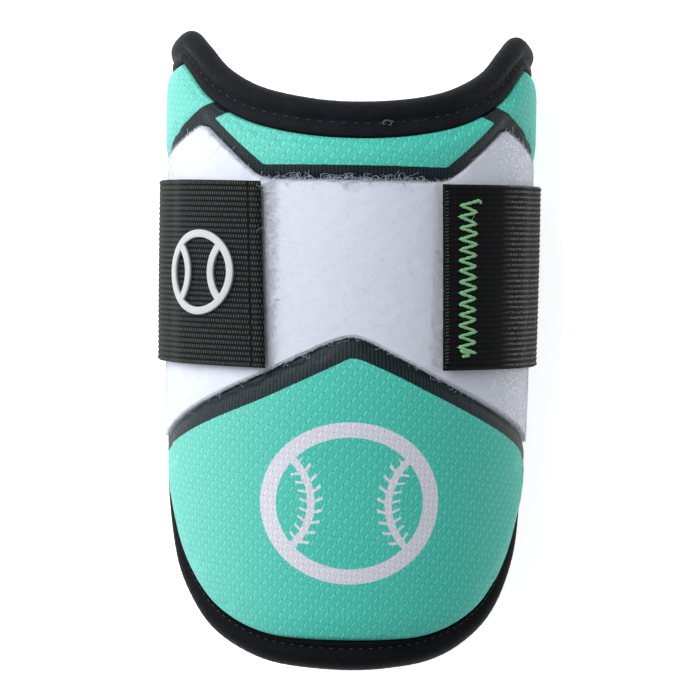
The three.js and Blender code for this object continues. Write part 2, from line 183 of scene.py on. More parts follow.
def left_of(girth, along, a, b):
    """Distance of points to the left of the line from a to b, in millimetres."""
    dx, dy = b[0] - a[0], b[1] - a[1]
    return (dx * (along - a[1]) - dy * (girth - a[0])) / math.hypot(dx, dy)


def forearm_night(girth, along):
    """How far a point of the forearm panel lies inside its dark band."""
    return 0.9 * (along - smooth_table(BAND[:, 0], BAND[:, 1], girth))


def elbow_night(girth, along):
    """How far a point of the elbow panel lies outside its three mint fields, each bounded by straight lines."""
    g = np.abs(girth)
    middle = np.minimum(np.minimum(along - 49.4, left_of(g, along, (22.4, 49.6), (36.7, 62.2))),
                        left_of(g, along, (36.9, 62.0), (32.7, 64.2)))
    wing = left_of(g, along, (37.6, 67.4), (50.0, 61.2))
    wing = np.maximum(wing, left_of(g, along, (50.0, 61.2), (64.5, 53.9)) - 60 * (g < 50))
    return -np.maximum(middle, wing)


def span_at(loop, girth):
    """Lowest and highest crossing of a loop with each line of equal girth."""
    a, b = loop[:, None, :], np.roll(loop, -1, 0)[:, None, :]
    g = girth[None, :]
    crossed = ((a[..., 0] - g) * (b[..., 0] - g) <= 0) & (a[..., 0] != b[..., 0])
    width = np.where(crossed, b[..., 0] - a[..., 0], 1)
    at = a[..., 1] + (b[..., 1] - a[..., 1]) * (g - a[..., 0]) / width
    return np.where(crossed, at, np.inf).min(0), np.where(crossed, at, -np.inf).max(0)


# %% Put arrays into a mesh
def cloth_mesh(name, points, faces, pattern=None, smooth=True, night=None):
    """One mesh object from whole arrays: points (n, 3) in metres, faces (m, 3 or 4), pattern the cloth's own
    coordinates in millimetres for each point or each corner, kept as a UV map, and night (n,) its distance inside a dark border."""
    points, faces = np.asarray(points, float).reshape(-1, 3), np.asarray(faces, int)
    sides = faces.shape[1]
    mesh = bpy.data.meshes.new(name)
    mesh.vertices.add(len(points))
    mesh.vertices.foreach_set("co", points.astype(np.float32).ravel())
    mesh.loops.add(faces.size)
    mesh.loops.foreach_set("vertex_index", faces.astype(np.int32).ravel())
    mesh.polygons.add(len(faces))
    mesh.polygons.foreach_set("loop_start", np.arange(0, faces.size, sides, dtype=np.int32))
    mesh.update(calc_edges=True)
    if pattern is not None:
        uv = mesh.uv_layers.new(name="cloth")
        pattern = np.asarray(pattern, np.float32).reshape(-1, 2)
        uv.data.foreach_set("uv", (pattern if len(pattern) == faces.size else pattern[faces.ravel()]).ravel())
    if night is not None:
        mesh.attributes.new("night", "FLOAT", "POINT").data.foreach_set("value", night.astype(np.float32).ravel())
    mesh.polygons.foreach_set("use_smooth", np.full(len(faces), smooth))
    mesh.validate()
    piece = bpy.data.objects.new(name, mesh)
    bpy.context.collection.objects.link(piece)
    return piece


def grid_faces(columns, rows, closed_columns=False, closed_rows=False, start=0):
    """Four-sided faces of a grid of points whose number is column * rows + row, wrapped round where it is closed."""
    i = np.arange(columns if closed_columns else columns - 1)[:, None]
    j = np.arange(rows if closed_rows else rows - 1)[None, :]
    i2, j2 = (i + 1) % columns, (j + 1) % rows
    return start + np.stack([i * rows + j, i2 * rows + j, i2 * rows + j2, i * rows + j2], -1).reshape(-1, 4)


def slab_faces(columns, rows):
    """Faces of a closed slab: an inner grid, an outer grid after it, and four walls between their rims."""
    n = columns * rows
    outer = grid_faces(columns, rows, start=n)
    inner = grid_faces(columns, rows)[:, ::-1]
    first, last = np.arange(rows), np.arange(rows) + (columns - 1) * rows
    low, high = np.arange(columns) * rows, np.arange(columns) * rows + rows - 1
    walls = [np.stack([a[:-1], a[1:], a[1:] + n, a[:-1] + n], -1) for a in (low, last, high[::-1], first[::-1])]
    return np.vstack([outer, inner, *walls])


def thread_mesh(name, girth, along, rise, width, height, sides=4):
    """Closed tubes along paths of the pattern, one path per row of girth, along and rise. Around each path point stands
    a ring: its side lies square to the path within the cloth, its height along rise, and both shrink at the two ends."""
    count, steps = girth.shape
    dg, da = np.gradient(girth, axis=1), np.gradient(along, axis=1)
    size = np.maximum(np.hypot(dg, da), 1e-6)
    angle = (np.arange(sides) + 0.5) * 2 * math.pi / sides
    taper = np.ones(steps)
    taper[[0, -1]] = 0.45
    side = (np.reshape(width, (-1, 1, 1)) / 2 * taper[None, :, None]) * np.cos(angle)
    lift = (np.reshape(height, (-1, 1, 1)) / 2 * taper[None, :, None]) * np.sin(angle)
    points = guard_point(girth[..., None] - (da / size)[..., None] * side, along[..., None] + (dg / size)[..., None] * side, rise[..., None] + lift)
    ring = grid_faces(steps, sides, False, True)[:, ::-1]
    cap = np.array([[0, k, k + 1, k + 2] for k in range(1, sides - 1, 2)])
    faces = np.vstack([ring, cap[:, ::-1], cap + (steps - 1) * sides])
    every = (np.arange(count) * steps * sides)[:, None, None] + faces
    return cloth_mesh(name, points, every.reshape(-1, 4))


# %% [markdown]
# ## Camera, light and floor
# The photograph looks straight down on the crown from far away, with soft light from the upper left.
# A long lens from 0.87 m above gives the same small perspective. The camera comes first, because
# every later choice is judged through it.

# %% Camera
YAW, ROLL = math.radians(2.0), math.radians(0.95)
DISTANCE, MIDDLE_HEIGHT, PIXEL = 0.900, 0.030, 0.2778 * MM
toward = np.array([-math.sin(YAW), 0, math.cos(YAW)])
across = np.array([math.cos(YAW), 0, math.sin(YAW)])
lengthwise = np.array([0, 1.0, 0])
camera_right = across * math.cos(ROLL) + lengthwise * math.sin(ROLL)
camera_up = lengthwise * math.cos(ROLL) - across * math.sin(ROLL)
camera_data = bpy.data.cameras.new("camera")
camera_data.sensor_width = 36
camera_data.lens = 36 * DISTANCE / (700 * PIXEL)
camera_data.clip_start, camera_data.clip_end = 0.05, 20
camera = bpy.data.objects.new("camera", camera_data)
place = np.array([0, 0, MIDDLE_HEIGHT]) + toward * DISTANCE + camera_right * 1.5 * PIXEL
matrix = np.eye(4)
matrix[:3, 0], matrix[:3, 1], matrix[:3, 2], matrix[:3, 3] = camera_right, camera_up, toward, place
camera.matrix_world = Matrix(matrix.tolist())
bpy.context.collection.objects.link(camera)
bpy.context.scene.camera = camera
bpy.context.scene.view_settings.view_transform = "Standard"
print(f"lens {camera_data.lens:.1f} mm, camera at", np.round(place, 3))


# %% Light and floor
def soft_lamp(name, place, size, power, colour=(1, 1, 1)):
    """A square area lamp that faces the middle of the guard."""
    lamp = bpy.data.lights.new(name, "AREA")
    lamp.shape, lamp.size, lamp.energy, lamp.color = "SQUARE", size, power, colour
    obj = bpy.data.objects.new(name, lamp)
    z = np.array(place) - (0, 0, 0.03)
    z = z / np.linalg.norm(z)
    x = np.cross((0, 1, 0), z)
    x /= np.linalg.norm(x)
    m = np.eye(4)
    m[:3, 0], m[:3, 1], m[:3, 2], m[:3, 3] = x, np.cross(z, x), z, place
    obj.matrix_world = Matrix(m.tolist())
    bpy.context.collection.objects.link(obj)
    return obj


soft_lamp("key_lamp", (-0.62, 0.52, 0.92), 0.80, 13.6, (1, 0.995, 0.985))
soft_lamp("side_lamp", (-1.20, 0.05, 0.40), 0.70, 5.2, (1, 1, 1))
soft_lamp("fill_lamp", (1.10, 0.10, 0.42), 0.9, 2.1, (0.94, 0.97, 1))

world = bpy.data.worlds.new("studio")
world.use_nodes = True
world.node_tree.nodes["Background"].inputs["Color"].default_value = (0.95, 0.97, 1, 1)
world.node_tree.nodes["Background"].inputs["Strength"].default_value = 0.26
bpy.context.scene.world = world

floor = cloth_mesh("floor", [(-6, -6, 0), (6, -6, 0), (6, 6, 0), (-6, 6, 0)], [(0, 1, 2, 3)])


# %% [markdown]
# ## Finishes
# Each finish is a weave or a pile at its real scale. A picture of cloth could be wrapped round the
# pieces, but node maths stays sharp at any distance and follows the pattern through each fold. The
# helpers below write that maths as plain sums, so a finish reads like its formula.

# %% A small kit for node maths
class Maths:
    """Builds Math nodes from ordinary calls: each method adds one node and returns its output."""

    def __init__(self, material):
        self.tree = material.node_tree

    def op(self, kind, *values, clamp=False):
        node = self.tree.nodes.new("ShaderNodeMath")
        node.operation, node.use_clamp = kind, clamp
        for socket, value in zip(node.inputs, values):
            self.put(socket, value)
        return node.outputs[0]

    def put(self, socket, value):
        if isinstance(value, bpy.types.NodeSocket):
            self.tree.links.new(value, socket)
        else:
            socket.default_value = value

    def add(self, a, b): return self.op("ADD", a, b)
    def sub(self, a, b): return self.op("SUBTRACT", a, b)
    def mul(self, a, b): return self.op("MULTIPLY", a, b)
    def low(self, a, b): return self.op("MINIMUM", a, b)
    def high(self, a, b): return self.op("MAXIMUM", a, b)
    def size(self, a): return self.op("ABSOLUTE", a)
    def power(self, a, b): return self.op("POWER", a, b)
    def root(self, a): return self.op("SQRT", a)

    def wave(self, a, pitch):
        """A cosine of that pitch, from 0 to 1."""
        return self.add(self.mul(self.op("COSINE", self.mul(a, 2 * math.pi / pitch)), 0.5), 0.5)

    def centred(self, a):
        """Distance to the nearest whole number, with its sign."""
        return self.sub(self.op("FRACT", self.add(a, 0.5)), 0.5)

    def step(self, a, start, end):
        """0 below start, 1 above end and a smooth rise between; start may be above end."""
        node = self.tree.nodes.new("ShaderNodeMapRange")
        node.interpolation_type = "SMOOTHSTEP"
        swap = start > end
        for name, value in (("Value", a), ("From Min", min(start, end)), ("From Max", max(start, end)),
                            ("To Min", 1.0 if swap else 0.0), ("To Max", 0.0 if swap else 1.0)):
            self.put(node.inputs[name], value)
        return node.outputs["Result"]

    def mix(self, share, a, b):
        """Colour a where share is 0 and b where it is 1."""
        node = self.tree.nodes.new("ShaderNodeMix")
        node.data_type = "RGBA"
        self.put(node.inputs[0], share)
        for socket, value in ((node.inputs[6], a), (node.inputs[7], b)):
            self.put(socket, value if isinstance(value, bpy.types.NodeSocket) else (*value, 1))
        return node.outputs[2]

    def noise(self, scale, detail=2.0, rough=0.5, vector=None, stretch=None):
        """Noise over the object's own coordinates in metres, or over another vector, stretched by three factors."""
        nodes = self.tree.nodes
        source = vector or nodes.new("ShaderNodeTexCoord").outputs["Object"]
        if stretch:
            turn = nodes.new("ShaderNodeMapping")
            turn.inputs["Scale"].default_value = stretch
            self.tree.links.new(source, turn.inputs["Vector"])
            source = turn.outputs[0]
        node = nodes.new("ShaderNodeTexNoise")
        for name, value in (("Scale", scale), ("Detail", detail), ("Roughness", rough)):
            node.inputs[name].default_value = value
        self.tree.links.new(source, node.inputs["Vector"])
        return node.outputs["Fac"]

    def cloth(self):
        """The cloth's own coordinates in millimetres: two numbers and the vector."""
        nodes = self.tree.nodes
        source = nodes.new("ShaderNodeUVMap")
        source.uv_map = "cloth"
        parts = nodes.new("ShaderNodeSeparateXYZ")
        self.tree.links.new(source.outputs[0], parts.inputs[0])
        return parts.outputs[0], parts.outputs[1], source.outputs[0]

    def place(self):
        """The point's own x (to the right), y (towards the elbow) and z (up), in metres."""
        point, parts = self.tree.nodes.new("ShaderNodeTexCoord"), self.tree.nodes.new("ShaderNodeSeparateXYZ")
        self.tree.links.new(point.outputs["Object"], parts.inputs[0])
        return parts.outputs

    def stored(self, name):
        """A number that each point of the mesh carries."""
        node = self.tree.nodes.new("ShaderNodeAttribute")
        node.attribute_name = name
        return node.outputs["Fac"]

    def bump(self, height, distance, strength=1.0, before=None):
        """Turns a height from 0 to 1 into a normal, distance metres deep."""
        node = self.tree.nodes.new("ShaderNodeBump")
        node.inputs["Strength"].default_value, node.inputs["Distance"].default_value = strength, distance
        self.put(node.inputs["Height"], height)
        if before:
            self.tree.links.new(before, node.inputs["Normal"])
        return node.outputs[0]


def finish_named(name, roughness=0.85, sheen=0.0, sheen_roughness=0.5, sheen_tint=(1, 1, 1), specular=0.3):
    """A new material and its kit, with the constant values set on the shader's own sockets."""
    material = bpy.data.materials.new(name)
    material.use_nodes = True
    shader = material.node_tree.nodes["Principled BSDF"]
    shader.inputs["Roughness"].default_value = roughness
    shader.inputs["Specular IOR Level"].default_value = specular
    shader.inputs["Sheen Weight"].default_value = sheen
    shader.inputs["Sheen Roughness"].default_value = sheen_roughness
    shader.inputs["Sheen Tint"].default_value = (*sheen_tint, 1)
    return material, shader, Maths(material)


def linear(red, green, blue):
    """A colour as seen on a screen, 0 to 255, turned into light: each share to the power 2.2, nearly."""
    share = np.array([red, green, blue]) / 255
    return tuple(np.where(share <= 0.04045, share / 12.92, ((share + 0.055) / 1.055) ** 2.4).tolist())


# %% Floor paper
floor_finish, shader, m = finish_named("floor_paper", roughness=0.9, specular=0.1)
m.put(shader.inputs["Base Color"], m.mix(m.noise(3.0, 3), (0.93, 0.93, 0.93), (0.96, 0.96, 0.96)))
shader.inputs["Emission Color"].default_value = (1, 1, 1, 1)
shader.inputs["Emission Strength"].default_value = 0.75
floor.data.materials.append(floor_finish)


# %% [markdown]
# ## Mesh fabric of the two printed panels
# The forearm and elbow panels are warp-knit sports mesh, printed mint with a dark border. Small holes
# sit in staggered columns, and a bright ridge of yarn runs up from each hole to the next. The holes
# could be cut, but at 0.5 mm wide over 3 mm of foam they only ever show as shade. So the lattice is
# node maths over the pattern: two steps lead from one hole to its neighbours, and the place between
# them tells how far a point is from the nearest hole and ridge.

# %% The lattice of holes and ridges
MINT_LOW, MINT_HIGH, MINT_RIDGE, MINT_SHADE = (40, 176, 159), (50, 186, 169), (130, 226, 213), (40, 158, 144)
HOLE_STEP_ACROSS, HOLE_STEP_UP = (2.62, -0.28), (1.32, 1.60)


def mesh_lattice(m, u, v):
    """Nearness to a hole, to the main ridge and to the weaker one: the pattern point is written as s steps across and t
    steps up, and what is left after whole steps is where it lies between four holes."""
    (ax, ay), (bx, by) = HOLE_STEP_ACROSS, HOLE_STEP_UP
    area = ax * by - ay * bx
    s = m.centred(m.add(m.mul(u, by / area), m.mul(v, -bx / area)))
    t = m.centred(m.add(m.mul(u, -ay / area), m.mul(v, ax / area)))
    x, y = m.add(m.mul(s, ax), m.mul(t, bx)), m.add(m.mul(s, ay), m.mul(t, by))
    hole = m.step(m.root(m.add(m.power(m.mul(x, 1 / 0.22), 2.0), m.power(m.mul(y, 1 / 0.30), 2.0))), 1.3, 0.5)
    between = m.centred(m.add(t, 0.5))
    ridge = m.mul(m.step(m.size(m.add(s, m.mul(between, 0.19))), 0.11, 0.02), m.step(m.size(between), 0.49, 0.40))
    shade = m.step(m.size(m.add(s, 0.17)), 0.17, 0.02)
    weak = m.mul(m.step(m.size(m.centred(m.add(s, t))), 0.15, 0.03), m.step(m.size(t), 0.08, 0.25))
    return hole, ridge, shade, weak


def mesh_finish(name, print_mask=None):
    """Mint mesh with its dark border, and where print_mask says so a white print."""
    material, shader, m = finish_named(name, roughness=0.6, sheen=0.02, sheen_roughness=0.4, specular=0.30)
    u, v, vector = m.cloth()
    wobble = m.noise(0.35, 2, vector=vector)
    u2 = m.add(u, m.mul(m.sub(wobble, 0.5), 0.5))
    hole, ridge, shade, weak = mesh_lattice(m, u2, v)
    rib = m.wave(m.add(u2, m.mul(v, 0.1)), 0.42)
    blotch = m.noise(60, 4, 0.6)
    ground = m.mix(blotch, linear(*MINT_LOW), linear(*MINT_HIGH))
    # Painted light: the mint is painted paler and whiter towards the left, where the key lamp's sheen falls, and a
    # purer green with less red towards the right, away from it.
    x = m.place()[0]
    ground = m.mix(m.step(x, -0.004, -0.046), ground, linear(90, 179, 167))
    ground = m.mix(m.step(x, 0.004, 0.046), ground, linear(20, 180, 158))
    grit = m.noise(3.2, 2, 0.7, vector=vector)
    ground = m.mix(m.mul(m.mul(rib, grit), 0.55), ground, linear(*MINT_RIDGE))
    ground = m.mix(m.mul(shade, 0.22), ground, linear(*MINT_SHADE))
    ground = m.mix(m.mul(weak, 0.10), ground, linear(*MINT_RIDGE))
    fine = m.noise(2.4, 2, 0.6, vector=vector, stretch=(1.0, 0.6, 1))
    ground = m.mix(m.mul(m.step(fine, 0.52, 0.68), 0.30), ground, linear(*MINT_RIDGE))
    ground = m.mix(m.mul(m.step(fine, 0.48, 0.32), 0.28), ground, linear(*MINT_SHADE))
    ground = m.mix(m.mul(ridge, 0.56), ground, linear(*MINT_RIDGE))
    ground = m.mix(m.mul(hole, 0.45), ground, linear(24, 128, 118))
    if print_mask:
        white = m.mix(m.mul(m.high(shade, grit), 0.35), linear(210, 210, 222), linear(184, 188, 201))
        white = m.mix(m.mul(m.high(ridge, m.mul(weak, 0.5)), 0.9), white, linear(232, 233, 240))
        white = m.mix(m.mul(hole, 0.5), white, linear(140, 150, 160))
        ground = m.mix(print_mask(m, u, v), ground, white)
    lift = m.add(v, m.mul(u2, 0.5))
    speck = m.mul(m.step(m.wave(u2, 0.92), 0.35, 0.9), m.step(m.wave(lift, 0.54), 0.45, 0.9))
    night = m.mix(m.mul(speck, 0.8), linear(2, 8, 12), linear(30, 76, 86))
    night = m.mix(m.mul(hole, 0.5), night, linear(8, 16, 18))
    fray = m.mul(m.sub(m.noise(0.9, 2, vector=vector), 0.5), 0.25)
    m.put(shader.inputs["Base Color"], m.mix(m.step(m.add(m.stored("night"), fray), -0.12, 0.12), ground, night))
    height = m.add(m.mul(m.high(ridge, m.mul(weak, 0.25)), 0.5), m.mul(m.sub(1.0, hole), 0.5))
    coarse = m.bump(height, 0.00008, 0.7)
    m.put(shader.inputs["Normal"], m.bump(rib, 0.00003, 0.35, before=coarse))
    m.put(shader.inputs["Roughness"], m.add(0.56, m.mul(hole, 0.25)))
    return material


# %% The print
def ball_print(m, u, v):
    """A plain ball: a ring, two curved seams and their short stitches, as distances from circles."""
    x, y = u, m.add(v, 41.3)
    from_middle = m.root(m.add(m.power(x, 2.0), m.power(y, 2.0)))
    ring = m.step(m.size(m.sub(from_middle, 19.9)), 2.15, 1.95)
    seam_x = m.sub(m.size(x), 26.4)
    from_seam = m.root(m.add(m.power(seam_x, 2.0), m.power(y, 2.0)))
    offset = m.sub(from_seam, 17.2)
    inside = m.step(from_middle, 20.0, 19.8)
    seam = m.step(m.size(offset), 1.0, 0.8)
    angle = m.op("ARCTAN2", y, m.mul(seam_x, -1.0))
    beat = m.centred(m.mul(m.add(angle, m.mul(m.size(offset), -0.026)), 6.2))
    tick = m.mul(m.step(m.size(beat), 0.155, 0.125), m.step(m.size(offset), 2.9, 2.7))
    tick = m.mul(tick, m.step(from_middle, 17.0, 16.6))
    return m.high(ring, m.mul(inside, m.high(seam, tick)))


forearm_finish = mesh_finish("forearm_mesh_fabric", ball_print)
elbow_finish = mesh_finish("elbow_mesh_fabric")


# %% [markdown]
# ## Padded panels
# The forearm and elbow panels are mesh over foam, sewn down along every edge. Each is a closed slab on
# a grid of the pattern. The outer face is let loose as a Cloth with its rim pinned, slightly more
# cloth than room and a light pressure from the foam, and what it does is capped and kept. That gives
# the crown and the faint puckers which a formula alone would miss.

# %% Columns and rows of a panel
def panel_grid(loop, low_seam, high_seam, least, columns, rows):
    """Girth and along of a grid between two seams inside a loop. Columns are even, and closer at the ends; rows
    follow a half cosine, so they are close at both seams."""
    reach = loop[:, 0].max() - GAP
    probe = np.linspace(reach * 0.4, reach, 1500)
    low, high = span_at(loop, probe)
    low = np.maximum(low, low_seam(probe)) if low_seam else low
    high = np.minimum(high, high_seam(probe)) if high_seam else high
    reach = probe[(high - low) >= least].max()
    t = np.linspace(-1, 1, columns)
    girth = reach * (0.75 * t + 0.25 * np.sin(t * math.pi / 2))
    low, high = span_at(loop, girth)
    low = np.maximum(low, low_seam(girth)) if low_seam else low
    high = np.minimum(high, high_seam(girth)) if high_seam else high
    share = (1 - np.cos(np.linspace(0, 1, rows) * math.pi)) / 2
    along = low[:, None] + (high - low)[:, None] * share
    edge = np.minimum(np.minimum(along - low[:, None], high[:, None] - along), (reach - np.abs(girth))[:, None])
    return np.repeat(girth[:, None], rows, 1), along, np.maximum(edge, 0)


def sewn_swell(edge, base, rounding, full, reach):
    """Rise of a sewn panel at a distance from its edge: a quarter circle up to base, then a sine up to full."""
    near = np.clip(edge / rounding, 0, 1)
    far = np.clip(edge / reach, 0, 1)
    return GAP + base * np.sqrt(1 - (1 - near) ** 2) + (full - base) * np.sin(far * math.pi / 2)


# %% Let a face go as cloth
def relax_as_cloth(points, pinned, pressure, ease, cap, steps=18):
    """Runs Blender's Cloth on a grid of points with its rim pinned and returns how far each point moved along the
    surface's normal, in metres, held between -cap/3 and cap. ease is the share of extra cloth."""
    columns, rows = points.shape[:2]
    scale = 10.0
    sheet = cloth_mesh("loose_cloth", points * scale, grid_faces(columns, rows))
    group = sheet.vertex_groups.new(name="sewn")
    group.add(np.flatnonzero(pinned.ravel()).tolist(), 1.0, "REPLACE")
    cloth = sheet.modifiers.new("loose", "CLOTH")
    cloth.settings.vertex_group_mass = "sewn"
    cloth.settings.quality = 4
    cloth.settings.mass = 0.15
    cloth.settings.tension_stiffness = cloth.settings.compression_stiffness = 30
    cloth.settings.shear_stiffness = 8
    cloth.settings.bending_stiffness = 0.8
    cloth.settings.shrink_min = -ease
    cloth.settings.use_pressure = True
    cloth.settings.uniform_pressure_force = pressure
    cloth.settings.effector_weights.gravity = 0
    cloth.collision_settings.use_collision = False
    cloth.point_cache.frame_start, cloth.point_cache.frame_end = 1, steps
    scene = bpy.context.scene
    for number in range(1, steps + 1):
        scene.frame_set(number)
    ready = sheet.evaluated_get(bpy.context.evaluated_depsgraph_get())
    moved = np.empty(len(ready.data.vertices) * 3, np.float32)
    ready.data.vertices.foreach_get("co", moved)
    normal = np.empty_like(moved)
    sheet.data.vertices.foreach_get("normal", normal)
    scene.frame_set(1)
    bpy.data.objects.remove(sheet)
    shift = (moved.reshape(columns, rows, 3) / scale - points)
    along_normal = (shift * normal.reshape(columns, rows, 3)).sum(-1)
    return np.clip(np.nan_to_num(along_normal), -cap / 3, cap)


def finer(values):
    """A grid with a new point midway between each two: even rows are kept and odd ones are the mean of their neighbours."""
    for axis in (0, 1):
        values = np.moveaxis(values, axis, 0)
        out = np.empty((len(values) * 2 - 1, *values.shape[1:]))
        out[::2], out[1::2] = values, (values[1:] + values[:-1]) / 2
        values = np.moveaxis(out, 0, axis)
    return values


def padded_panel(name, loop, low_seam, high_seam, least, columns, rows, swell, cap, border):
    """A closed slab whose outer face follows swell(edge), then relaxes as cloth; columns and rows are odd. border gives
    the distance inside the dark border."""
    girth, along, edge = panel_grid(loop, low_seam, high_seam, least, columns, rows)
    rise = swell(edge)
    outer = guard_point(girth, along, rise)
    some = outer[::2, ::2]
    rim = np.zeros(some.shape[:2], bool)
    rim[[0, -1]] = True
    rim[:, [0, -1]] = True
    puff = finer(relax_as_cloth(some, rim, 1.2, 0.012, cap * MM)) / MM
    print(f"{name}: cloth moved {puff.min():.2f} to {puff.max():.2f} mm")
    rise = rise + puff * np.clip(edge / 1.2, 0, 1)
    outer = guard_point(girth, along, rise)
    inner = guard_point(girth, along, GAP)
    points = np.concatenate([inner.reshape(-1, 3), outer.reshape(-1, 3)])
    pattern = np.tile(np.stack([girth, along], -1).reshape(-1, 2), (2, 1))
    piece = cloth_mesh(name, points, slab_faces(columns, rows), pattern, night=np.tile(border(girth, along).ravel(), 2))
    print(f"{name}: {len(piece.data.polygons)} faces, rises to {rise.max():.2f} mm")
    return piece


# %% Forearm panel
forearm_panel = padded_panel(
    "forearm_panel", panel_loop, None, lambda g: chevron_seam(g) - GAP / 2, 2.4, 241, 125,
    lambda edge: sewn_swell(edge, 1.35, 0.8, 2.45, 7.0), 0.5, forearm_night)
forearm_panel.data.materials.append(forearm_finish)
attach(forearm_panel, "root")
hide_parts("lower_panel")

# %% Elbow panel
elbow_panel = padded_panel(
    "elbow_panel", panel_loop, lambda g: yoke_seam(g) + GAP / 2, None, 2.4, 301, 61,
    lambda edge: sewn_swell(edge, 1.25, 0.8, 2.3, 6.0), 0.4, elbow_night)
elbow_panel.data.materials.append(elbow_finish)
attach(elbow_panel, "root")
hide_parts("upper_panel")

# %% [markdown]
# ## Lining
# Inside is a black brushed knit over foam. It is seen in the hollow and at the wings. It is one
# closed slab over the whole pattern, with its edge hidden in the bound roll.

# %% Lining finish
lining_finish, shader, m = finish_named("lining_brushed_knit", roughness=0.95, sheen=0.35, sheen_roughness=0.6, sheen_tint=(0.5, 0.55, 0.6), specular=0.12)
u, v, vector = m.cloth()
loops = m.mul(m.wave(u, 0.9), m.wave(m.add(v, m.mul(m.wave(u, 0.9), 0.25)), 0.7))
fuzz = m.noise(900, 3, 0.7)
m.put(shader.inputs["Base Color"], m.mix(m.add(m.mul(loops, 0.4), m.mul(fuzz, 0.5)), linear(14, 15, 17), linear(46, 48, 52)))
m.put(shader.inputs["Normal"], m.bump(m.add(m.mul(loops, 0.6), m.mul(fuzz, 0.4)), 0.00012, 0.7))

# %% Lining shell
girth, along, edge = panel_grid(lining_loop, None, None, 50.0, 161, 121)
quilt = 0.35 * np.sin(np.clip(edge / 9, 0, 1) * math.pi / 2)
points = np.concatenate([guard_point(girth, along, -LINING_THICKNESS + 0.35 - quilt).reshape(-1, 3), guard_point(girth, along, 0).reshape(-1, 3)])
lining_shell = cloth_mesh("lining_shell", points, slab_faces(161, 121), np.tile(np.stack([girth, along], -1).reshape(-1, 2), (2, 1)))
lining_shell.data.materials.append(lining_finish)
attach(lining_shell, "root")
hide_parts("liner")

# %% [markdown]
# ## Bound edge
# A strip of black stretch knit is wrapped round the lining's edge over a soft core, and sewn through
# its flat facing. It is a profile carried along the outline. The stitches pull the roll in a little
# at each beat, so the profile breathes along the way.

# %% Binding finish
binding_finish, shader, m = finish_named("binding_stretch_knit", roughness=0.5, sheen=0.0, sheen_roughness=0.3, sheen_tint=(0.75, 0.8, 0.95), specular=0.07)
u, v, vector = m.cloth()
grid = m.high(m.power(m.wave(m.add(u, v), 0.78), 3.0), m.mul(m.power(m.wave(m.sub(u, v), 0.78), 3.0), 0.7))
worn = m.noise(140, 4, 0.6)
tone = m.mix(m.mul(grid, m.add(0.1, m.mul(worn, 0.8))), linear(2, 2, 4), linear(56, 59, 68))
# Painted shade: towards the forearm end, which faces away from the key lamp, the knit is painted nearly black.
tone = m.mix(m.mul(m.step(m.place()[1], -0.020, -0.060), 0.55), tone, linear(1, 1, 2))
m.put(shader.inputs["Base Color"], tone)
m.put(shader.inputs["Roughness"], m.add(0.38, m.mul(worn, 0.3)))
m.put(shader.inputs["Normal"], m.bump(grid, 0.00012, 0.9))

# %% Edge roll and facing
BEAT = 2.7
beats = round(outline_length / BEAT)


def binding_profile():
    """The profile as (out, rise, facing share): the facing's flat top, then arcs round the roll, then back under."""
    bottom = ROLL_STAND_OUT - ROLL_HEIGHT
    middle = (ROLL_STAND_OUT + bottom) / 2
    angle = np.linspace(-0.62, 0.74, 23) * math.pi
    squash = 1 + 0.03 * np.cos(2 * angle)
    roll = np.stack([GAP + ROLL_WIDTH / 2 + ROLL_WIDTH / 2 * np.cos(angle) * squash, middle + ROLL_HEIGHT / 2 * np.sin(angle), 0 * angle], -1)
    top = np.array([(0.8, 0.86, 0), (0.25, 0.78, 0), (0, 1.36, 0.16), (0, 1.5, 0.5), (0, 1.42, 0.86), (0, 1.1, 0.99)])
    under = np.array([(0, GAP, 1), (0, GAP, 0.5), (0, GAP, 0), (GAP, GAP, 0), (GAP, bottom + ROLL_HEIGHT / 4, 0)])
    return np.vstack([under, roll, top])


profile = binding_profile()
walked = np.arange(LOOP_STEPS) / LOOP_STEPS * outline_length
pull = 0.5 + 0.5 * np.cos(2 * math.pi * walked / outline_length * beats)
round_share = 2 * math.pi * walked / outline_length
wander = 0.10 * np.sin(round_share * 11 + 1.3) + 0.08 * np.sin(round_share * 27 + 0.4)
out = profile[None, :, 0] - facing[:, None] * profile[None, :, 2]
on_roll = (profile[:, 0] > 0.8)[None, :]
centre = GAP + ROLL_WIDTH / 2
out = np.where(on_roll, centre + (out - centre) * (1 - 0.012 * pull[:, None]) + wander[:, None] * 0.5, out)
rise = np.repeat(profile[None, :, 1], LOOP_STEPS, 0)
rise = np.where(on_roll & (rise > -1), rise + wander[:, None] * 0.6 - 0.05 * pull[:, None], rise)
rise = np.where((profile[:, 2] > 0.1)[None, :] & (rise > 1), rise - 0.10 * pull[:, None], rise)
flat = lining_loop[:, None, :] + loop_out[:, None, :] * out[..., None]
points = guard_point(flat[..., 0], flat[..., 1], rise)
steps_round = np.concatenate([[0], np.cumsum(np.hypot(np.diff(profile[:, 0] - 2.5 * profile[:, 2]), np.diff(profile[:, 1])))])
faces = grid_faces(LOOP_STEPS, len(profile), True, True)
column, row = faces // len(profile), faces % len(profile)
closing = (column[:, :1] == LOOP_STEPS - 1) & (column == 0)
pattern = np.stack([np.where(closing, outline_length, walked[column]), steps_round[row]], -1)
edge_binding_cover = cloth_mesh("edge_roll", points, faces, pattern)
edge_binding_cover.data.materials.append(binding_finish)
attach(edge_binding_cover, "root")
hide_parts("edge_binding")
print(f"binding: {len(edge_binding_cover.data.polygons)} faces")

# %% [markdown]
# ## Loop fabric
# The white field between the panels is brushed loop fabric, which the strap's hooks grip. It is a
# short, tangled pile. A rough white surface alone would look like felt board, so the pile is real:
# tens of thousands of thin spikes stand on a closed base and lean every way. They are left out under
# the strap, where nothing is seen and the hooks lie.

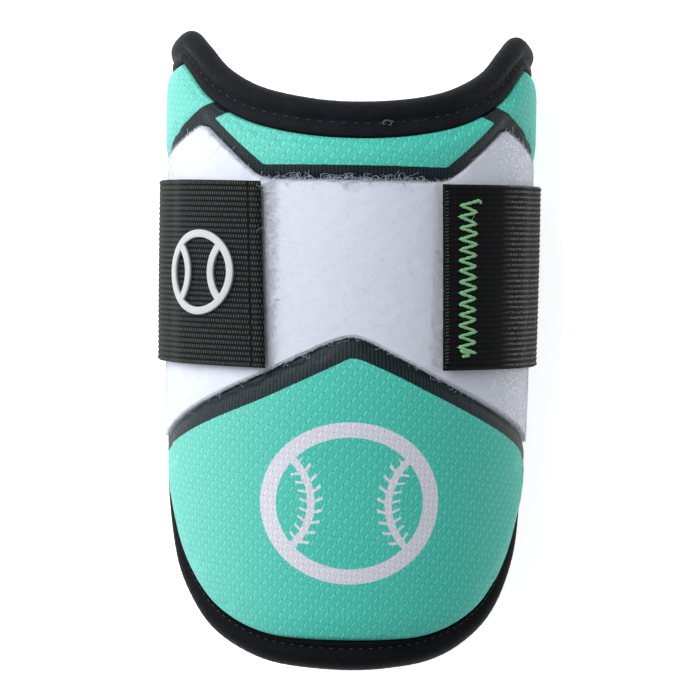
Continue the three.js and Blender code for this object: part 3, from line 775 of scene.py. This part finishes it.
# %% Loop fabric finish
loop_finish, shader, m = finish_named("brushed_loop_fabric", roughness=0.95, sheen=1.0, sheen_roughness=0.35, sheen_tint=(0.95, 0.97, 1), specular=0.1)
share = m.add(m.mul(m.noise(420, 4, 0.6), 0.6), m.mul(m.noise(45, 2, 0.5), 0.4))
white = m.mix(share, linear(201, 206, 220), linear(217, 221, 233))
# Painted glints: bright white specks on the right wing only, where the loops catch the light.
painted_glint = m.mul(m.step(m.noise(1500, 1), 0.56, 0.64), m.step(m.place()[0], 0.034, 0.046))
m.put(shader.inputs["Base Color"], m.mix(painted_glint, white, linear(255, 255, 255)))

# %% Loop fabric base
LOOP_TOP = GAP + 2.6
PILE_ROOT = LOOP_TOP - 0.40


def crowded(girth, along):
    """Extra rise of the pile beside the strap's two ends, where it is pushed up: a bell across, level along the strap."""
    return 0.28 * np.exp(-((np.abs(girth) - 22.6) / 2.4) ** 2) * ramp(along, -6.5, -3.5) * ramp(-along, -47.0, -44.0)


def loop_low(girth):
    """Lower seam of the loop fabric, half a gap above the chevron seam."""
    return chevron_seam(girth) + GAP / 2


def loop_high(girth):
    """Upper seam of the loop fabric, half a gap below the yoke seam."""
    return yoke_seam(girth) - GAP / 2


girth, along, edge = panel_grid(panel_loop, loop_low, loop_high, 25.0, 221, 81)
rise = GAP + (PILE_ROOT - GAP) * np.sqrt(1 - (1 - np.clip(edge / 0.7, 0, 1)) ** 2)
soft = 0.04 * np.sin(girth * 0.9 + 1.1 * np.sin(along * 0.7)) * np.sin(along * 1.1 + 0.8 * np.sin(girth * 0.5))
rise = rise + (soft + crowded(girth, along)) * np.clip(edge / 2, 0, 1)
points = np.concatenate([guard_point(girth, along, GAP).reshape(-1, 3), guard_point(girth, along, rise).reshape(-1, 3)])
loop_base = cloth_mesh("loop_fabric_base", points, slab_faces(221, 81), np.tile(np.stack([girth, along], -1).reshape(-1, 2), (2, 1)))
loop_base.data.materials.append(loop_finish)
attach(loop_base, "root")
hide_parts("loop_panel")

# %% Pile
random = np.random.default_rng(7)
PILE_COUNT, FRINGE_COUNT, CROWD_COUNT = 38000, 7000, 4000
STRAP_FROM, STRAP_TO = math.radians(29.5) * MEAN_RADIUS, math.radians(106) * MEAN_RADIUS
reach = girth.max()


def pile_roots(count):
    """Random places on the loop fabric, thrown over its box and kept where they are on it and not under the strap."""
    g = random.uniform(-reach, reach, count * 6)
    a = random.uniform(-32, 62, count * 6)
    on_fabric = (a > np.interp(g, girth[:, 0], along[:, 0]) + 0.05) & (a < np.interp(g, girth[:, 0], along[:, -1]) - 0.05)
    under_strap = (np.abs(g) > STRAP_FROM) & (np.abs(g) < STRAP_TO) & (a > -3.0) & (a < 43.5)
    keep = np.flatnonzero(on_fabric & ~under_strap)[:count]
    return g[keep], a[keep]


def fringe_roots(count):
    """Random places along the two seams, with the direction that leads out of the fabric there."""
    g = random.uniform(-reach, reach, count)
    upper = random.random(count) < 0.5
    on_seam = np.where(upper, loop_high(g) - np.interp(g, girth[:, 0], along[:, -1]), np.interp(g, girth[:, 0], along[:, 0]) - loop_low(g)) < 0.1
    g, upper = g[on_seam], upper[on_seam]
    seam = np.where(upper, loop_high(g) - 0.25, loop_low(g) + 0.25)
    slope = (np.where(upper, yoke_seam(g + 0.5), chevron_seam(g + 0.5)) - np.where(upper, yoke_seam(g - 0.5), chevron_seam(g - 0.5)))
    out_angle = np.arctan2(1.0, -slope) + np.where(upper, 0, math.pi)
    return g, seam, out_angle


g, a = pile_roots(PILE_COUNT)
fringe_g, fringe_a, fringe_out = fringe_roots(FRINGE_COUNT)
crowd_side = random.choice([-1, 1], CROWD_COUNT)
crowd_g, crowd_a = crowd_side * random.uniform(18.8, 22.4, CROWD_COUNT), random.uniform(-4.5, 45.2, CROWD_COUNT)
crowd_g, crowd_a = crowd_g[crowd_a > loop_low(crowd_g)], crowd_a[crowd_a > loop_low(crowd_g)]
g, a = np.concatenate([g, crowd_g]), np.concatenate([a, crowd_a])
crowd, count, fringe = len(crowd_g), len(g), len(fringe_g)
lean = np.concatenate([random.uniform(0, 2 * math.pi, count), fringe_out + random.normal(0, 0.7, fringe)])
tilt = np.concatenate([random.uniform(0.7, 1.4, count), random.uniform(1.0, 1.5, fringe)])
length = np.concatenate([random.uniform(0.30, 0.60, count), random.uniform(0.35, 1.0, fringe) ** 1.5])
width = np.concatenate([random.uniform(0.05, 0.085, count), random.uniform(0.03, 0.05, fringe)])
g, a = np.concatenate([g, fringe_g]), np.concatenate([a, fringe_a])
length[count - crowd:count] = random.uniform(0.8, 2.2, crowd)
root = np.concatenate([np.full(count, PILE_ROOT - 0.12), random.uniform(1.7, PILE_ROOT, fringe)]) + crowded(g, a)
count += fringe
corner = lean[:, None] + np.array([0, 2, 4]) * math.pi / 3
spike = np.empty((count, 4, 3))
spike[:, :3, 0] = g[:, None] + width[:, None] * np.cos(corner)
spike[:, :3, 1] = a[:, None] + width[:, None] * np.sin(corner)
spike[:, :3, 2] = root[:, None]
spike[:, 3, 0] = g + length * np.sin(tilt) * np.cos(lean)
spike[:, 3, 1] = a + length * np.sin(tilt) * np.sin(lean)
spike[:, 3, 2] = np.minimum(root + length * np.cos(tilt), LOOP_TOP + 0.25 + 2.2 * crowded(g, a))
points = guard_point(spike[..., 0], spike[..., 1], spike[..., 2])
faces = (np.arange(count) * 4)[:, None, None] + np.array([(0, 2, 1), (0, 1, 3), (1, 2, 3), (2, 0, 3)])
loop_pile = cloth_mesh("loop_fabric_pile", points, faces.reshape(-1, 3), smooth=True)

# Each fibre takes its light mostly from the cloth's own normal, so the pile reads as one soft face.
above = guard_point(g, a, 1.0) - guard_point(g, a, 0.0)
above /= np.linalg.norm(above, axis=1, keepdims=True)
sideways = points[:, 3] - points[:, 0]
sideways /= np.linalg.norm(sideways, axis=1, keepdims=True)
soft_normal = above + 0.07 * random.normal(0, 1, above.shape) + 0.06 * sideways
soft_normal /= np.linalg.norm(soft_normal, axis=1, keepdims=True)
loop_pile.data.normals_split_custom_set_from_vertices(np.repeat(soft_normal, 4, 0).tolist())
loop_pile.data.materials.append(loop_finish)
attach(loop_pile, "root")
print(f"pile: {count} fibres")

# %% Loose fibres
# Brushing pulls single loops out. They lie over the dark bands and curl up at the strap's ends.
LOOSE, BESIDE = 400, 110
where = random.random(LOOSE)
g = np.where(where < 0.45, random.normal(-5, 13, LOOSE), random.uniform(-50, 50, LOOSE))
upper = where < 0.72
a = np.where(upper, loop_high(g) - 0.4, loop_low(g) + 0.4)
turn = np.where(upper, 1, -1) * random.uniform(0.25, 2.9, LOOSE)
bend = random.choice([-1, 1], LOOSE) * random.uniform(0.5, 2.4, LOOSE)
length = random.uniform(1.0, 4.2, LOOSE) * np.where(where < 0.45, 1.15, 0.7)
t = np.linspace(0, 1, 9)[None, :]
heading = turn[:, None] + bend[:, None] * t * length[:, None] / 1.6 + 0.5 * np.sin(t * 7 + turn[:, None] * 5)
pace = length[:, None] / 8
fibre_g = g[:, None] + np.cumsum(np.cos(heading) * pace, 1)
fibre_a = a[:, None] + np.cumsum(np.sin(heading) * pace, 1)
fibre_rise = 2.75 + 0.35 * np.sin(t * math.pi) * random.random((LOOSE, 1)) + 0 * fibre_g
beside = np.arange(LOOSE - BESIDE, LOOSE)
end_side = random.choice([-1, 1], BESIDE)
bow = random.uniform(0, 2 * math.pi, BESIDE)[:, None] + random.uniform(1.5, 4.5, BESIDE)[:, None] * t
pace = random.uniform(1.2, 3.0, BESIDE)[:, None] / 8
fibre_g[beside] = (end_side * random.uniform(20.4, 21.8, BESIDE))[:, None] + np.cumsum(np.cos(bow) * pace, 1)
fibre_a[beside] = random.uniform(-3, 44, BESIDE)[:, None] + np.cumsum(np.sin(bow) * pace, 1)
fibre_rise[beside] = 3.2 + 2.6 * random.uniform(0.1, 1, BESIDE)[:, None] * t
over_strap = np.array([(-23.6, 44.5, -1.0, 0.9, 5.2), (26.6, 34.8, 0.5, 0.35, 3.2), (-21.6, 43.0, -0.9, 0.5, 3.6), (-22.4, 31.0, 1.4, -0.8, 3.0)])
bow = over_strap[:, 2:3] + over_strap[:, 3:4] * t * 3
fibre_g[:4] = over_strap[:, 0:1] + np.cumsum(np.cos(bow) * over_strap[:, 4:5] / 8, 1)
fibre_a[:4] = over_strap[:, 1:2] + np.cumsum(np.sin(bow) * over_strap[:, 4:5] / 8, 1)
fibre_rise[:4] = 5.95
loose_fibres = thread_mesh("loose_fibres", fibre_g, fibre_a, fibre_rise, np.full(LOOSE, 0.075), np.full(LOOSE, 0.075))
fibre_finish, shader, m = finish_named("loose_fibre", roughness=0.7, specular=0.2)
m.put(shader.inputs["Base Color"], m.mix(m.noise(300, 2), linear(150, 168, 188), linear(214, 222, 236)))
loose_fibres.data.materials.append(fibre_finish)
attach(loose_fibres, "root")
print(f"loose fibres: {LOOSE}")

# %% [markdown]
# ## Elastic strap
# One woven elastic band, 50 mm wide, goes round the wings and flat across behind. Its warp ribs run
# along it, 35 of them side by side. They are real ribs on both faces. The weft that shows between
# them as short upright dashes is in the finish, because it is a third of a millimetre.

# %% Elastic finish
HEM, STRAP_LENGTH = 3.5, 240.5
RIB = 50 / 35
strap_finish, strap_shader, m = finish_named("woven_elastic", roughness=0.75, sheen=0.03, sheen_roughness=0.4, sheen_tint=(0.8, 0.85, 0.82), specular=0.10)
u, v, vector = m.cloth()
shift = m.noise(1.4, 2, vector=vector, stretch=(1.0, 0.35, 1))
brick = m.mul(m.op("FLOOR", m.mul(v, 1 / RIB)), 0.37)
dash = m.mul(m.step(m.wave(m.add(m.add(u, brick), m.mul(shift, 0.45)), 0.75), 0.3, 0.85), m.step(m.wave(m.add(v, RIB / 2), RIB), 0.15, 0.6))
groove = m.step(m.wave(v, RIB), 0.66, 0.98)
mottle = m.noise(2.2, 3, 0.6, vector=vector)
# Painted light: the strap's ground and weft dashes are painted lighter on its left half, towards the key lamp, and
# darker on its right half.
painted_light_left = m.step(u, 60.0, 140.0)
tone = m.mix(painted_light_left, linear(6, 6, 8), linear(13, 14, 16))
tone = m.mix(m.mul(dash, m.add(0.35, m.mul(mottle, 0.6))), tone, m.mix(painted_light_left, linear(26, 28, 30), linear(80, 86, 84)))
tone = m.mix(m.mul(groove, 0.5), tone, linear(9, 9, 10))
# Partly painted highlight: grey glints in rows where the strap is stretched round the right wing. They stand for light
# grazing the ribs, together with the white elastic that shows through the opened weave.
opened_weave_glint_zone = m.mul(m.step(u, 18.0, 26.0), m.step(u, 62.0, 50.0))
glint = m.mul(m.step(m.wave(m.add(u, m.add(brick, m.mul(v, 0.5))), 0.80), 0.45, 0.9), m.step(m.wave(m.add(v, 0.25), RIB), 0.35, 0.85))
tone = m.mix(m.mul(m.mul(opened_weave_glint_zone, glint), m.step(mottle, 0.36, 0.62)), tone, linear(176, 172, 170))
from_end = m.sub(STRAP_LENGTH, u)
hem_line = m.mul(m.step(m.size(m.sub(from_end, 3.5)), 0.50, 0.25), 0.95)
tone = m.mix(hem_line, tone, linear(3, 3, 4))
m.put(strap_shader.inputs["Base Color"], tone)
m.put(strap_shader.inputs["Normal"], m.bump(m.high(dash, m.mul(glint, opened_weave_glint_zone)), 0.00010, 0.6))

# %% Strap path
STRAP_WIDTH, STRAP_THICKNESS, STRAP_MIDDLE, STRAP_DROOP = 50.0, 1.5, 21.5, 1.7
END_TURN, HOOK_LENGTH, HOOK_THICKNESS = 27.5, 24.0, 0.8
HOOK_TURN = END_TURN + math.degrees(HOOK_LENGTH / MEAN_RADIUS)
LEAVE_TURN = 104.0


def strap_rise(turn):
    """Rise of the strap's middle layer: over the hook tab near its end, then smoothly down onto the loop fabric."""
    t = np.clip((np.abs(turn) - HOOK_TURN) / 10.0, 0, 1)
    share = t * t * (3 - 2 * t)
    over_hook = LOOP_TOP + GAP + HOOK_THICKNESS + GAP
    return over_hook + (LOOP_TOP + GAP - over_hook) * share + STRAP_THICKNESS / 2


def strap_along(turn, across):
    """Place along the arm: the strap's middle, less the droop of its two ends."""
    return STRAP_MIDDLE - STRAP_DROOP * np.clip((90 - np.abs(turn)) / (90 - END_TURN), 0, 1) + across


def strap_half(across, first):
    """Middle layer from the right end to the middle of the flat span, as (station, across, xyz) in millimetres: down the
    side by turn, round the wing's roll on one cubic curve, then flat along the floor."""
    turn = first + (LEAVE_TURN - first) * np.linspace(0, 1, 64)[:, None]
    side = guard_point(np.radians(turn) * MEAN_RADIUS, strap_along(turn, across), strap_rise(turn)) / MM
    leave = side[-1]
    along = strap_along(90, across)
    roll_x = guard_point(ROLL_TURN * MEAN_RADIUS, along, ROLL_STAND_OUT - ROLL_HEIGHT / 2)[:, 0] / MM
    heading = (leave - side[-2]) * (1, 0, 1)
    heading /= np.linalg.norm(heading, axis=1, keepdims=True)
    end = np.stack([roll_x - ROLL_WIDTH, along, np.full_like(along, STRAP_THICKNESS / 2)], -1)
    reach = (leave[:, 2] - end[:, 2])[:, None]
    second = leave + heading * reach * 0.85
    third = end * (0, 1, 1) + np.stack([roll_x + ROLL_WIDTH * 0.7, 0 * along, 0 * along], -1)
    t = (np.arange(1, 27) / 26)[:, None, None]
    bend = (1 - t) ** 3 * leave + 3 * t * (1 - t) ** 2 * second + 3 * t * t * (1 - t) * third + t ** 3 * end
    bend[..., 1] = leave[:, 1] + (bend[..., 1] - leave[:, 1])
    flat = end * np.stack([np.linspace(1, 0, 14)[1:], np.ones(13), np.ones(13)], -1)[:, None, :]
    return np.concatenate([side, bend, flat])


# %% Strap
RIB_SAMPLES = 5
across = np.linspace(-0.5, 0.5, 35 * RIB_SAMPLES + 1) * STRAP_WIDTH
right_half_line = strap_half(across, 27.0 - 0.7 * across / 25)
left_half_line = strap_half(across, 27.6 + 1.2 * across / 25)
line = np.concatenate([right_half_line, left_half_line[-2::-1] * (-1, 1, 1)])
heading = np.gradient(line, axis=0) * (1, 0, 1)
heading /= np.linalg.norm(heading, axis=2, keepdims=True)
outwards = np.stack([-heading[..., 2], 0 * heading[..., 0], heading[..., 0]], -1)
middle_row = line[:, line.shape[1] // 2]
travelled = np.concatenate([[0], np.cumsum(np.linalg.norm(np.diff(middle_row, axis=0), axis=1))])
strap_length = travelled[-1]
print(f"strap: {strap_length:.0f} mm long")
from_end = np.minimum(travelled, strap_length - travelled)[:, None]
rib = 0.5 - 0.5 * np.cos(2 * math.pi * (across / STRAP_WIDTH + 0.5) * 35)[None, :]
to_edge = (STRAP_WIDTH / 2 - np.abs(across))[None, :]
edge_round = np.sqrt(1 - (1 - np.clip(to_edge / 0.5, 0, 1)) ** 2)
cord = 0.10 * np.exp(-((to_edge - 0.7) / 0.45) ** 2)
hem = np.clip((HEM - from_end) / 0.4, 0, 1)
end_round = np.sqrt(1 - (1 - np.clip(from_end / 0.5, 0, 1)) ** 2)
half = STRAP_THICKNESS / 2 - 0.14
body = half + (0.20 * rib) * (1 - 0.6 * hem) + cord
outer_half = (body + 0.32 * hem) * np.maximum(edge_round * end_round, 0.35)
inner_half = (half + 0.12 * rib) * np.maximum(edge_round * end_round, 0.35)
on_floor = np.clip((np.abs(line[..., 0]) - 20) / 8, 0, 1)
outer_pos = line + outwards * outer_half[..., None]
inner_pos = line - outwards * inner_half[..., None]
both = np.concatenate([inner_pos[::-1], outer_pos[::-1]])
both[..., 2] = np.maximum(both[..., 2], 0)
columns, rows = line.shape[:2]
u_grid, v_grid = np.broadcast_arrays(travelled[:, None], across[None, :] + STRAP_WIDTH / 2)
pattern = np.stack([u_grid, v_grid], -1)[::-1]
strap_band = cloth_mesh("strap_band", both * MM, slab_faces(columns, rows)[:, ::-1], np.tile(pattern.reshape(-1, 2), (2, 1)))
strap_band.data.materials.append(strap_finish)
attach(strap_band, "root")
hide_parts("strap")
print(f"strap: {len(strap_band.data.polygons)} faces")

# %% Hook tabs
hook_finish, shader, m = finish_named("hook_tape", roughness=0.6, specular=0.4)
m.put(shader.inputs["Base Color"], m.mix(m.noise(1500, 3, 0.6), linear(10, 10, 12), linear(52, 54, 58)))
m.put(shader.inputs["Normal"], m.bump(m.noise(1800, 2, 0.6), 0.0003, 0.8))
for name in ("hook_tab_left", "hook_tab_right"):
    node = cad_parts[name]
    node.data.materials.clear()
    node.data.materials.append(hook_finish)


# %% [markdown]
# ## Threads
# Three kinds of stitching show. A zigzag of two-ply green thread holds the right end's hook tab, small
# whip stitches keep that end's cut edge, and a lockstitch runs between the edge's roll and its facing.
# Each is a short closed tube laid in the pattern, so it follows the cloth under it. They could be
# painted on, but the zigzag stands half a millimetre proud and throws a shadow.

# %% Zigzag
LEGS, LEG_ALONG, LEG_STEPS = 28, 1.46, 9
corner = np.arange(LEGS + 1)
corner_along = 40.6 - LEG_ALONG * corner + random.normal(0, 0.10, LEGS + 1)
corner_turn = 31.6 + 0.7 * (41 - corner_along) / 42 + np.where(corner % 2 == 0, 6.3, 0) + random.normal(0, 0.12, LEGS + 1)
bottom_turn, bottom_along = np.array([33.0, 36.4, 33.6]), np.array([0.3, -0.9, -1.3])
corner_turn = np.concatenate([[39.3, 38.6], corner_turn, bottom_turn])
corner_along = np.concatenate([[40.0, 40.9], corner_along, bottom_along])
steps = np.arange((len(corner_turn) - 1) * LEG_STEPS + 1) / LEG_STEPS
path_turn = np.interp(steps, np.arange(len(corner_turn)), corner_turn)
path_along = np.interp(steps, np.arange(len(corner_turn)), corner_along)
arch = np.sin((steps % 1) * math.pi) ** 0.5
ply = np.array([0, math.pi])[:, None] + steps[None, :] * 2 * math.pi * 3.1
path_girth = np.radians(path_turn) * MEAN_RADIUS
heading = np.arctan2(np.gradient(path_along), np.gradient(path_girth))
ply_girth = path_girth - 0.25 * np.cos(ply) * np.sin(heading)
ply_along = path_along + 0.25 * np.cos(ply) * np.cos(heading)
ply_rise = strap_rise(path_turn) + 0.62 + 0.28 * arch + 0.12 * np.sin(ply)
zigzag = thread_mesh("zigzag_thread", ply_girth, ply_along, ply_rise, np.full(2, 0.56), np.full(2, 0.46), sides=6)
thread_finish, shader, m = finish_named("green_thread", roughness=0.6, sheen=0.2, sheen_roughness=0.4, specular=0.3)
m.put(shader.inputs["Base Color"], m.mix(m.noise(1500, 3, 0.6), linear(98, 170, 114), linear(154, 212, 154)))
zigzag.data.materials.append(thread_finish)
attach(zigzag, "root")
print(f"zigzag: {LEGS} legs")

# %% Whip stitches on the cut edge
whip_along = np.arange(-3.0, 43.5, 0.9) + random.normal(0, 0.06, 52)
t = np.linspace(-0.5, 0.5, 5)[None, :]
whip_turn = 27.0 - 0.7 * (whip_along - 20) / 25 + 0.9
whip_g = np.radians(whip_turn)[:, None] * MEAN_RADIUS + 0.95 * t
whip_a = whip_along[:, None] + 0.25 * t + 0 * whip_g
whip_rise = strap_rise(whip_turn)[:, None] + 0.88 + 0.12 * np.cos(t * math.pi) + 0 * whip_g
whips = thread_mesh("whip_stitches", whip_g, whip_a, whip_rise, np.full(len(whip_g), 0.22), np.full(len(whip_g), 0.2))
grey_finish, shader, m = finish_named("grey_thread", roughness=0.7, specular=0.2)
m.put(shader.inputs["Base Color"], m.mix(m.noise(700, 2), linear(24, 25, 28), linear(128, 130, 134)))
whips.data.materials.append(grey_finish)
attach(whips, "root")

# %% Lockstitch of the bound edge
stitch_at = (np.arange(beats) + 0.5) * outline_length / beats
middle = np.stack([np.interp(stitch_at, walked, lining_loop[:, k]) for k in (0, 1)], -1)
out_of = np.stack([np.interp(stitch_at, walked, loop_out[:, k]) for k in (0, 1)], -1)
way = np.stack([-out_of[:, 1], out_of[:, 0]], -1)
t = np.linspace(-0.5, 0.5, 5)[None, :]
stitch = middle[:, None, :] + out_of[:, None, :] * 0.42 + way[:, None, :] * (t * 1.05)[..., None]
stitch_rise = 0.96 + 0.10 * np.cos(t * math.pi) + 0 * stitch[..., 0]
lockstitch = thread_mesh("edge_stitches", stitch[..., 0], stitch[..., 1], stitch_rise, np.full(beats, 0.30), np.full(beats, 0.24))
dark_thread, shader, m = finish_named("dark_thread", roughness=0.6, specular=0.3)
m.put(shader.inputs["Base Color"], m.mix(m.noise(500, 2), linear(30, 32, 37), linear(72, 76, 84)))
lockstitch.data.materials.append(dark_thread)
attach(lockstitch, "root")
print(f"edge stitches: {beats}")

# %% Thread end
t = np.linspace(0, 1, 15)[None, :]
knot_g = 7.3 + np.array([[1.6], [-1.1]]) * np.cos(t * 4.5) * (1 - 0.3 * t)
knot_a = 61.0 + np.array([[0.5], [0.7]]) * np.sin(t * 5.5)
knot = thread_mesh("thread_end", knot_g, knot_a, 2.0 + 0.25 * np.sin(t * 3) + 0 * knot_g, np.full(2, 0.26), np.full(2, 0.24))
knot.data.materials.append(grey_finish)
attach(knot, "root")

# %% [markdown]
# ## Badge
# A raised soft-rubber badge sits on the left end of the strap: a plain ball, as a ring and two seam
# bars. It is a rounded profile carried along three paths on the flat strap, then bent with it.

# %% Badge finish
badge_finish, shader, m = finish_named("badge_rubber", roughness=0.42, specular=0.4)
grain = m.noise(900, 3, 0.6)
m.put(shader.inputs["Base Color"], m.mix(m.noise(120, 3), linear(170, 171, 175), linear(188, 189, 193)))
m.put(shader.inputs["Roughness"], m.add(0.36, m.mul(grain, 0.18)))
m.put(shader.inputs["Normal"], m.bump(grain, 0.00005, 0.5))

# %% Badge
BADGE_DIAMETER, BADGE_THICKNESS, BADGE_LINE, BADGE_TURN = 23.0, 1.0, 2.1, math.radians(-50)
BADGE_UNDER = float(strap_rise(math.degrees(BADGE_TURN))) + STRAP_THICKNESS / 2 + 0.1
badge_along = float(strap_along(math.degrees(BADGE_TURN), 0))
share = badge_along / GUARD_LENGTH + 0.5
badge_bend = math.hypot((HALF_WIDTH * table_at(1, share) + BADGE_UNDER) * math.cos(BADGE_TURN),
                        (CROWN_RISE * table_at(2, share) + BADGE_UNDER) * math.sin(BADGE_TURN))


def on_strap(x, y, height):
    """A point of the flat badge bent with the strap: x is a share of the turn, y goes along the arm, height out."""
    return guard_point((BADGE_TURN + x / badge_bend) * MEAN_RADIUS, badge_along + y, BADGE_UNDER + height)


def rounded_bar(width, height, corner, steps=4):
    """A rectangle's outline with quarter circles on its two upper corners, as (side, height), anticlockwise from its foot."""
    angle = np.linspace(0, math.pi / 2, steps)
    right = np.stack([width / 2 - corner + corner * np.cos(angle), height - corner + corner * np.sin(angle)], -1)
    left = (right * (-1, 1))[::-1]
    return np.vstack([[(width / 2, 0)], right, left, [(-width / 2, 0)]])


def raised_line(centre, radius, start, end, count, height, closed):
    """A rounded bar carried along an arc of the flat badge: the bar's side runs along the arc's radius."""
    bar = rounded_bar(BADGE_LINE, height, 0.28)
    angle = np.linspace(start, end, count, endpoint=not closed)[:, None]
    r = radius + bar[None, :, 0]
    points = on_strap(centre + r * np.cos(angle), r * np.sin(angle), bar[None, :, 1])
    faces = grid_faces(count, len(bar), closed, True)
    if not closed:
        cap = np.array([[0, k, k + 1, k + 2] for k in range(1, len(bar) - 1, 2)])
        faces = np.vstack([faces, cap, cap[:, ::-1] + (count - 1) * len(bar)])
    return points.reshape(-1, 3), faces


radius = BADGE_DIAMETER / 2 - BADGE_LINE / 2
seam_radius = 0.9 * BADGE_DIAMETER / 2
seam_centre = 0.36 * BADGE_DIAMETER / 2 + seam_radius
open_by = math.acos((seam_centre ** 2 + seam_radius ** 2 - radius ** 2) / (2 * seam_centre * seam_radius))
parts = [
    raised_line(0, radius, 0, 2 * math.pi, 96, BADGE_THICKNESS, True),
    raised_line(seam_centre, seam_radius, math.pi - open_by, math.pi + open_by, 33, BADGE_THICKNESS - 0.04, False),
    raised_line(-seam_centre, seam_radius, -open_by, open_by, 33, BADGE_THICKNESS - 0.04, False),
]
points, faces, start = [], [], 0
for part_points, part_faces in parts:
    points.append(part_points)
    faces.append(part_faces + start)
    start += len(part_points)
strap_badge_cover = cloth_mesh("ball_badge", np.vstack(points), np.vstack(faces), smooth=True)
strap_badge_cover.data.materials.append(badge_finish)
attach(strap_badge_cover, "root")
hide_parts("strap_badge")
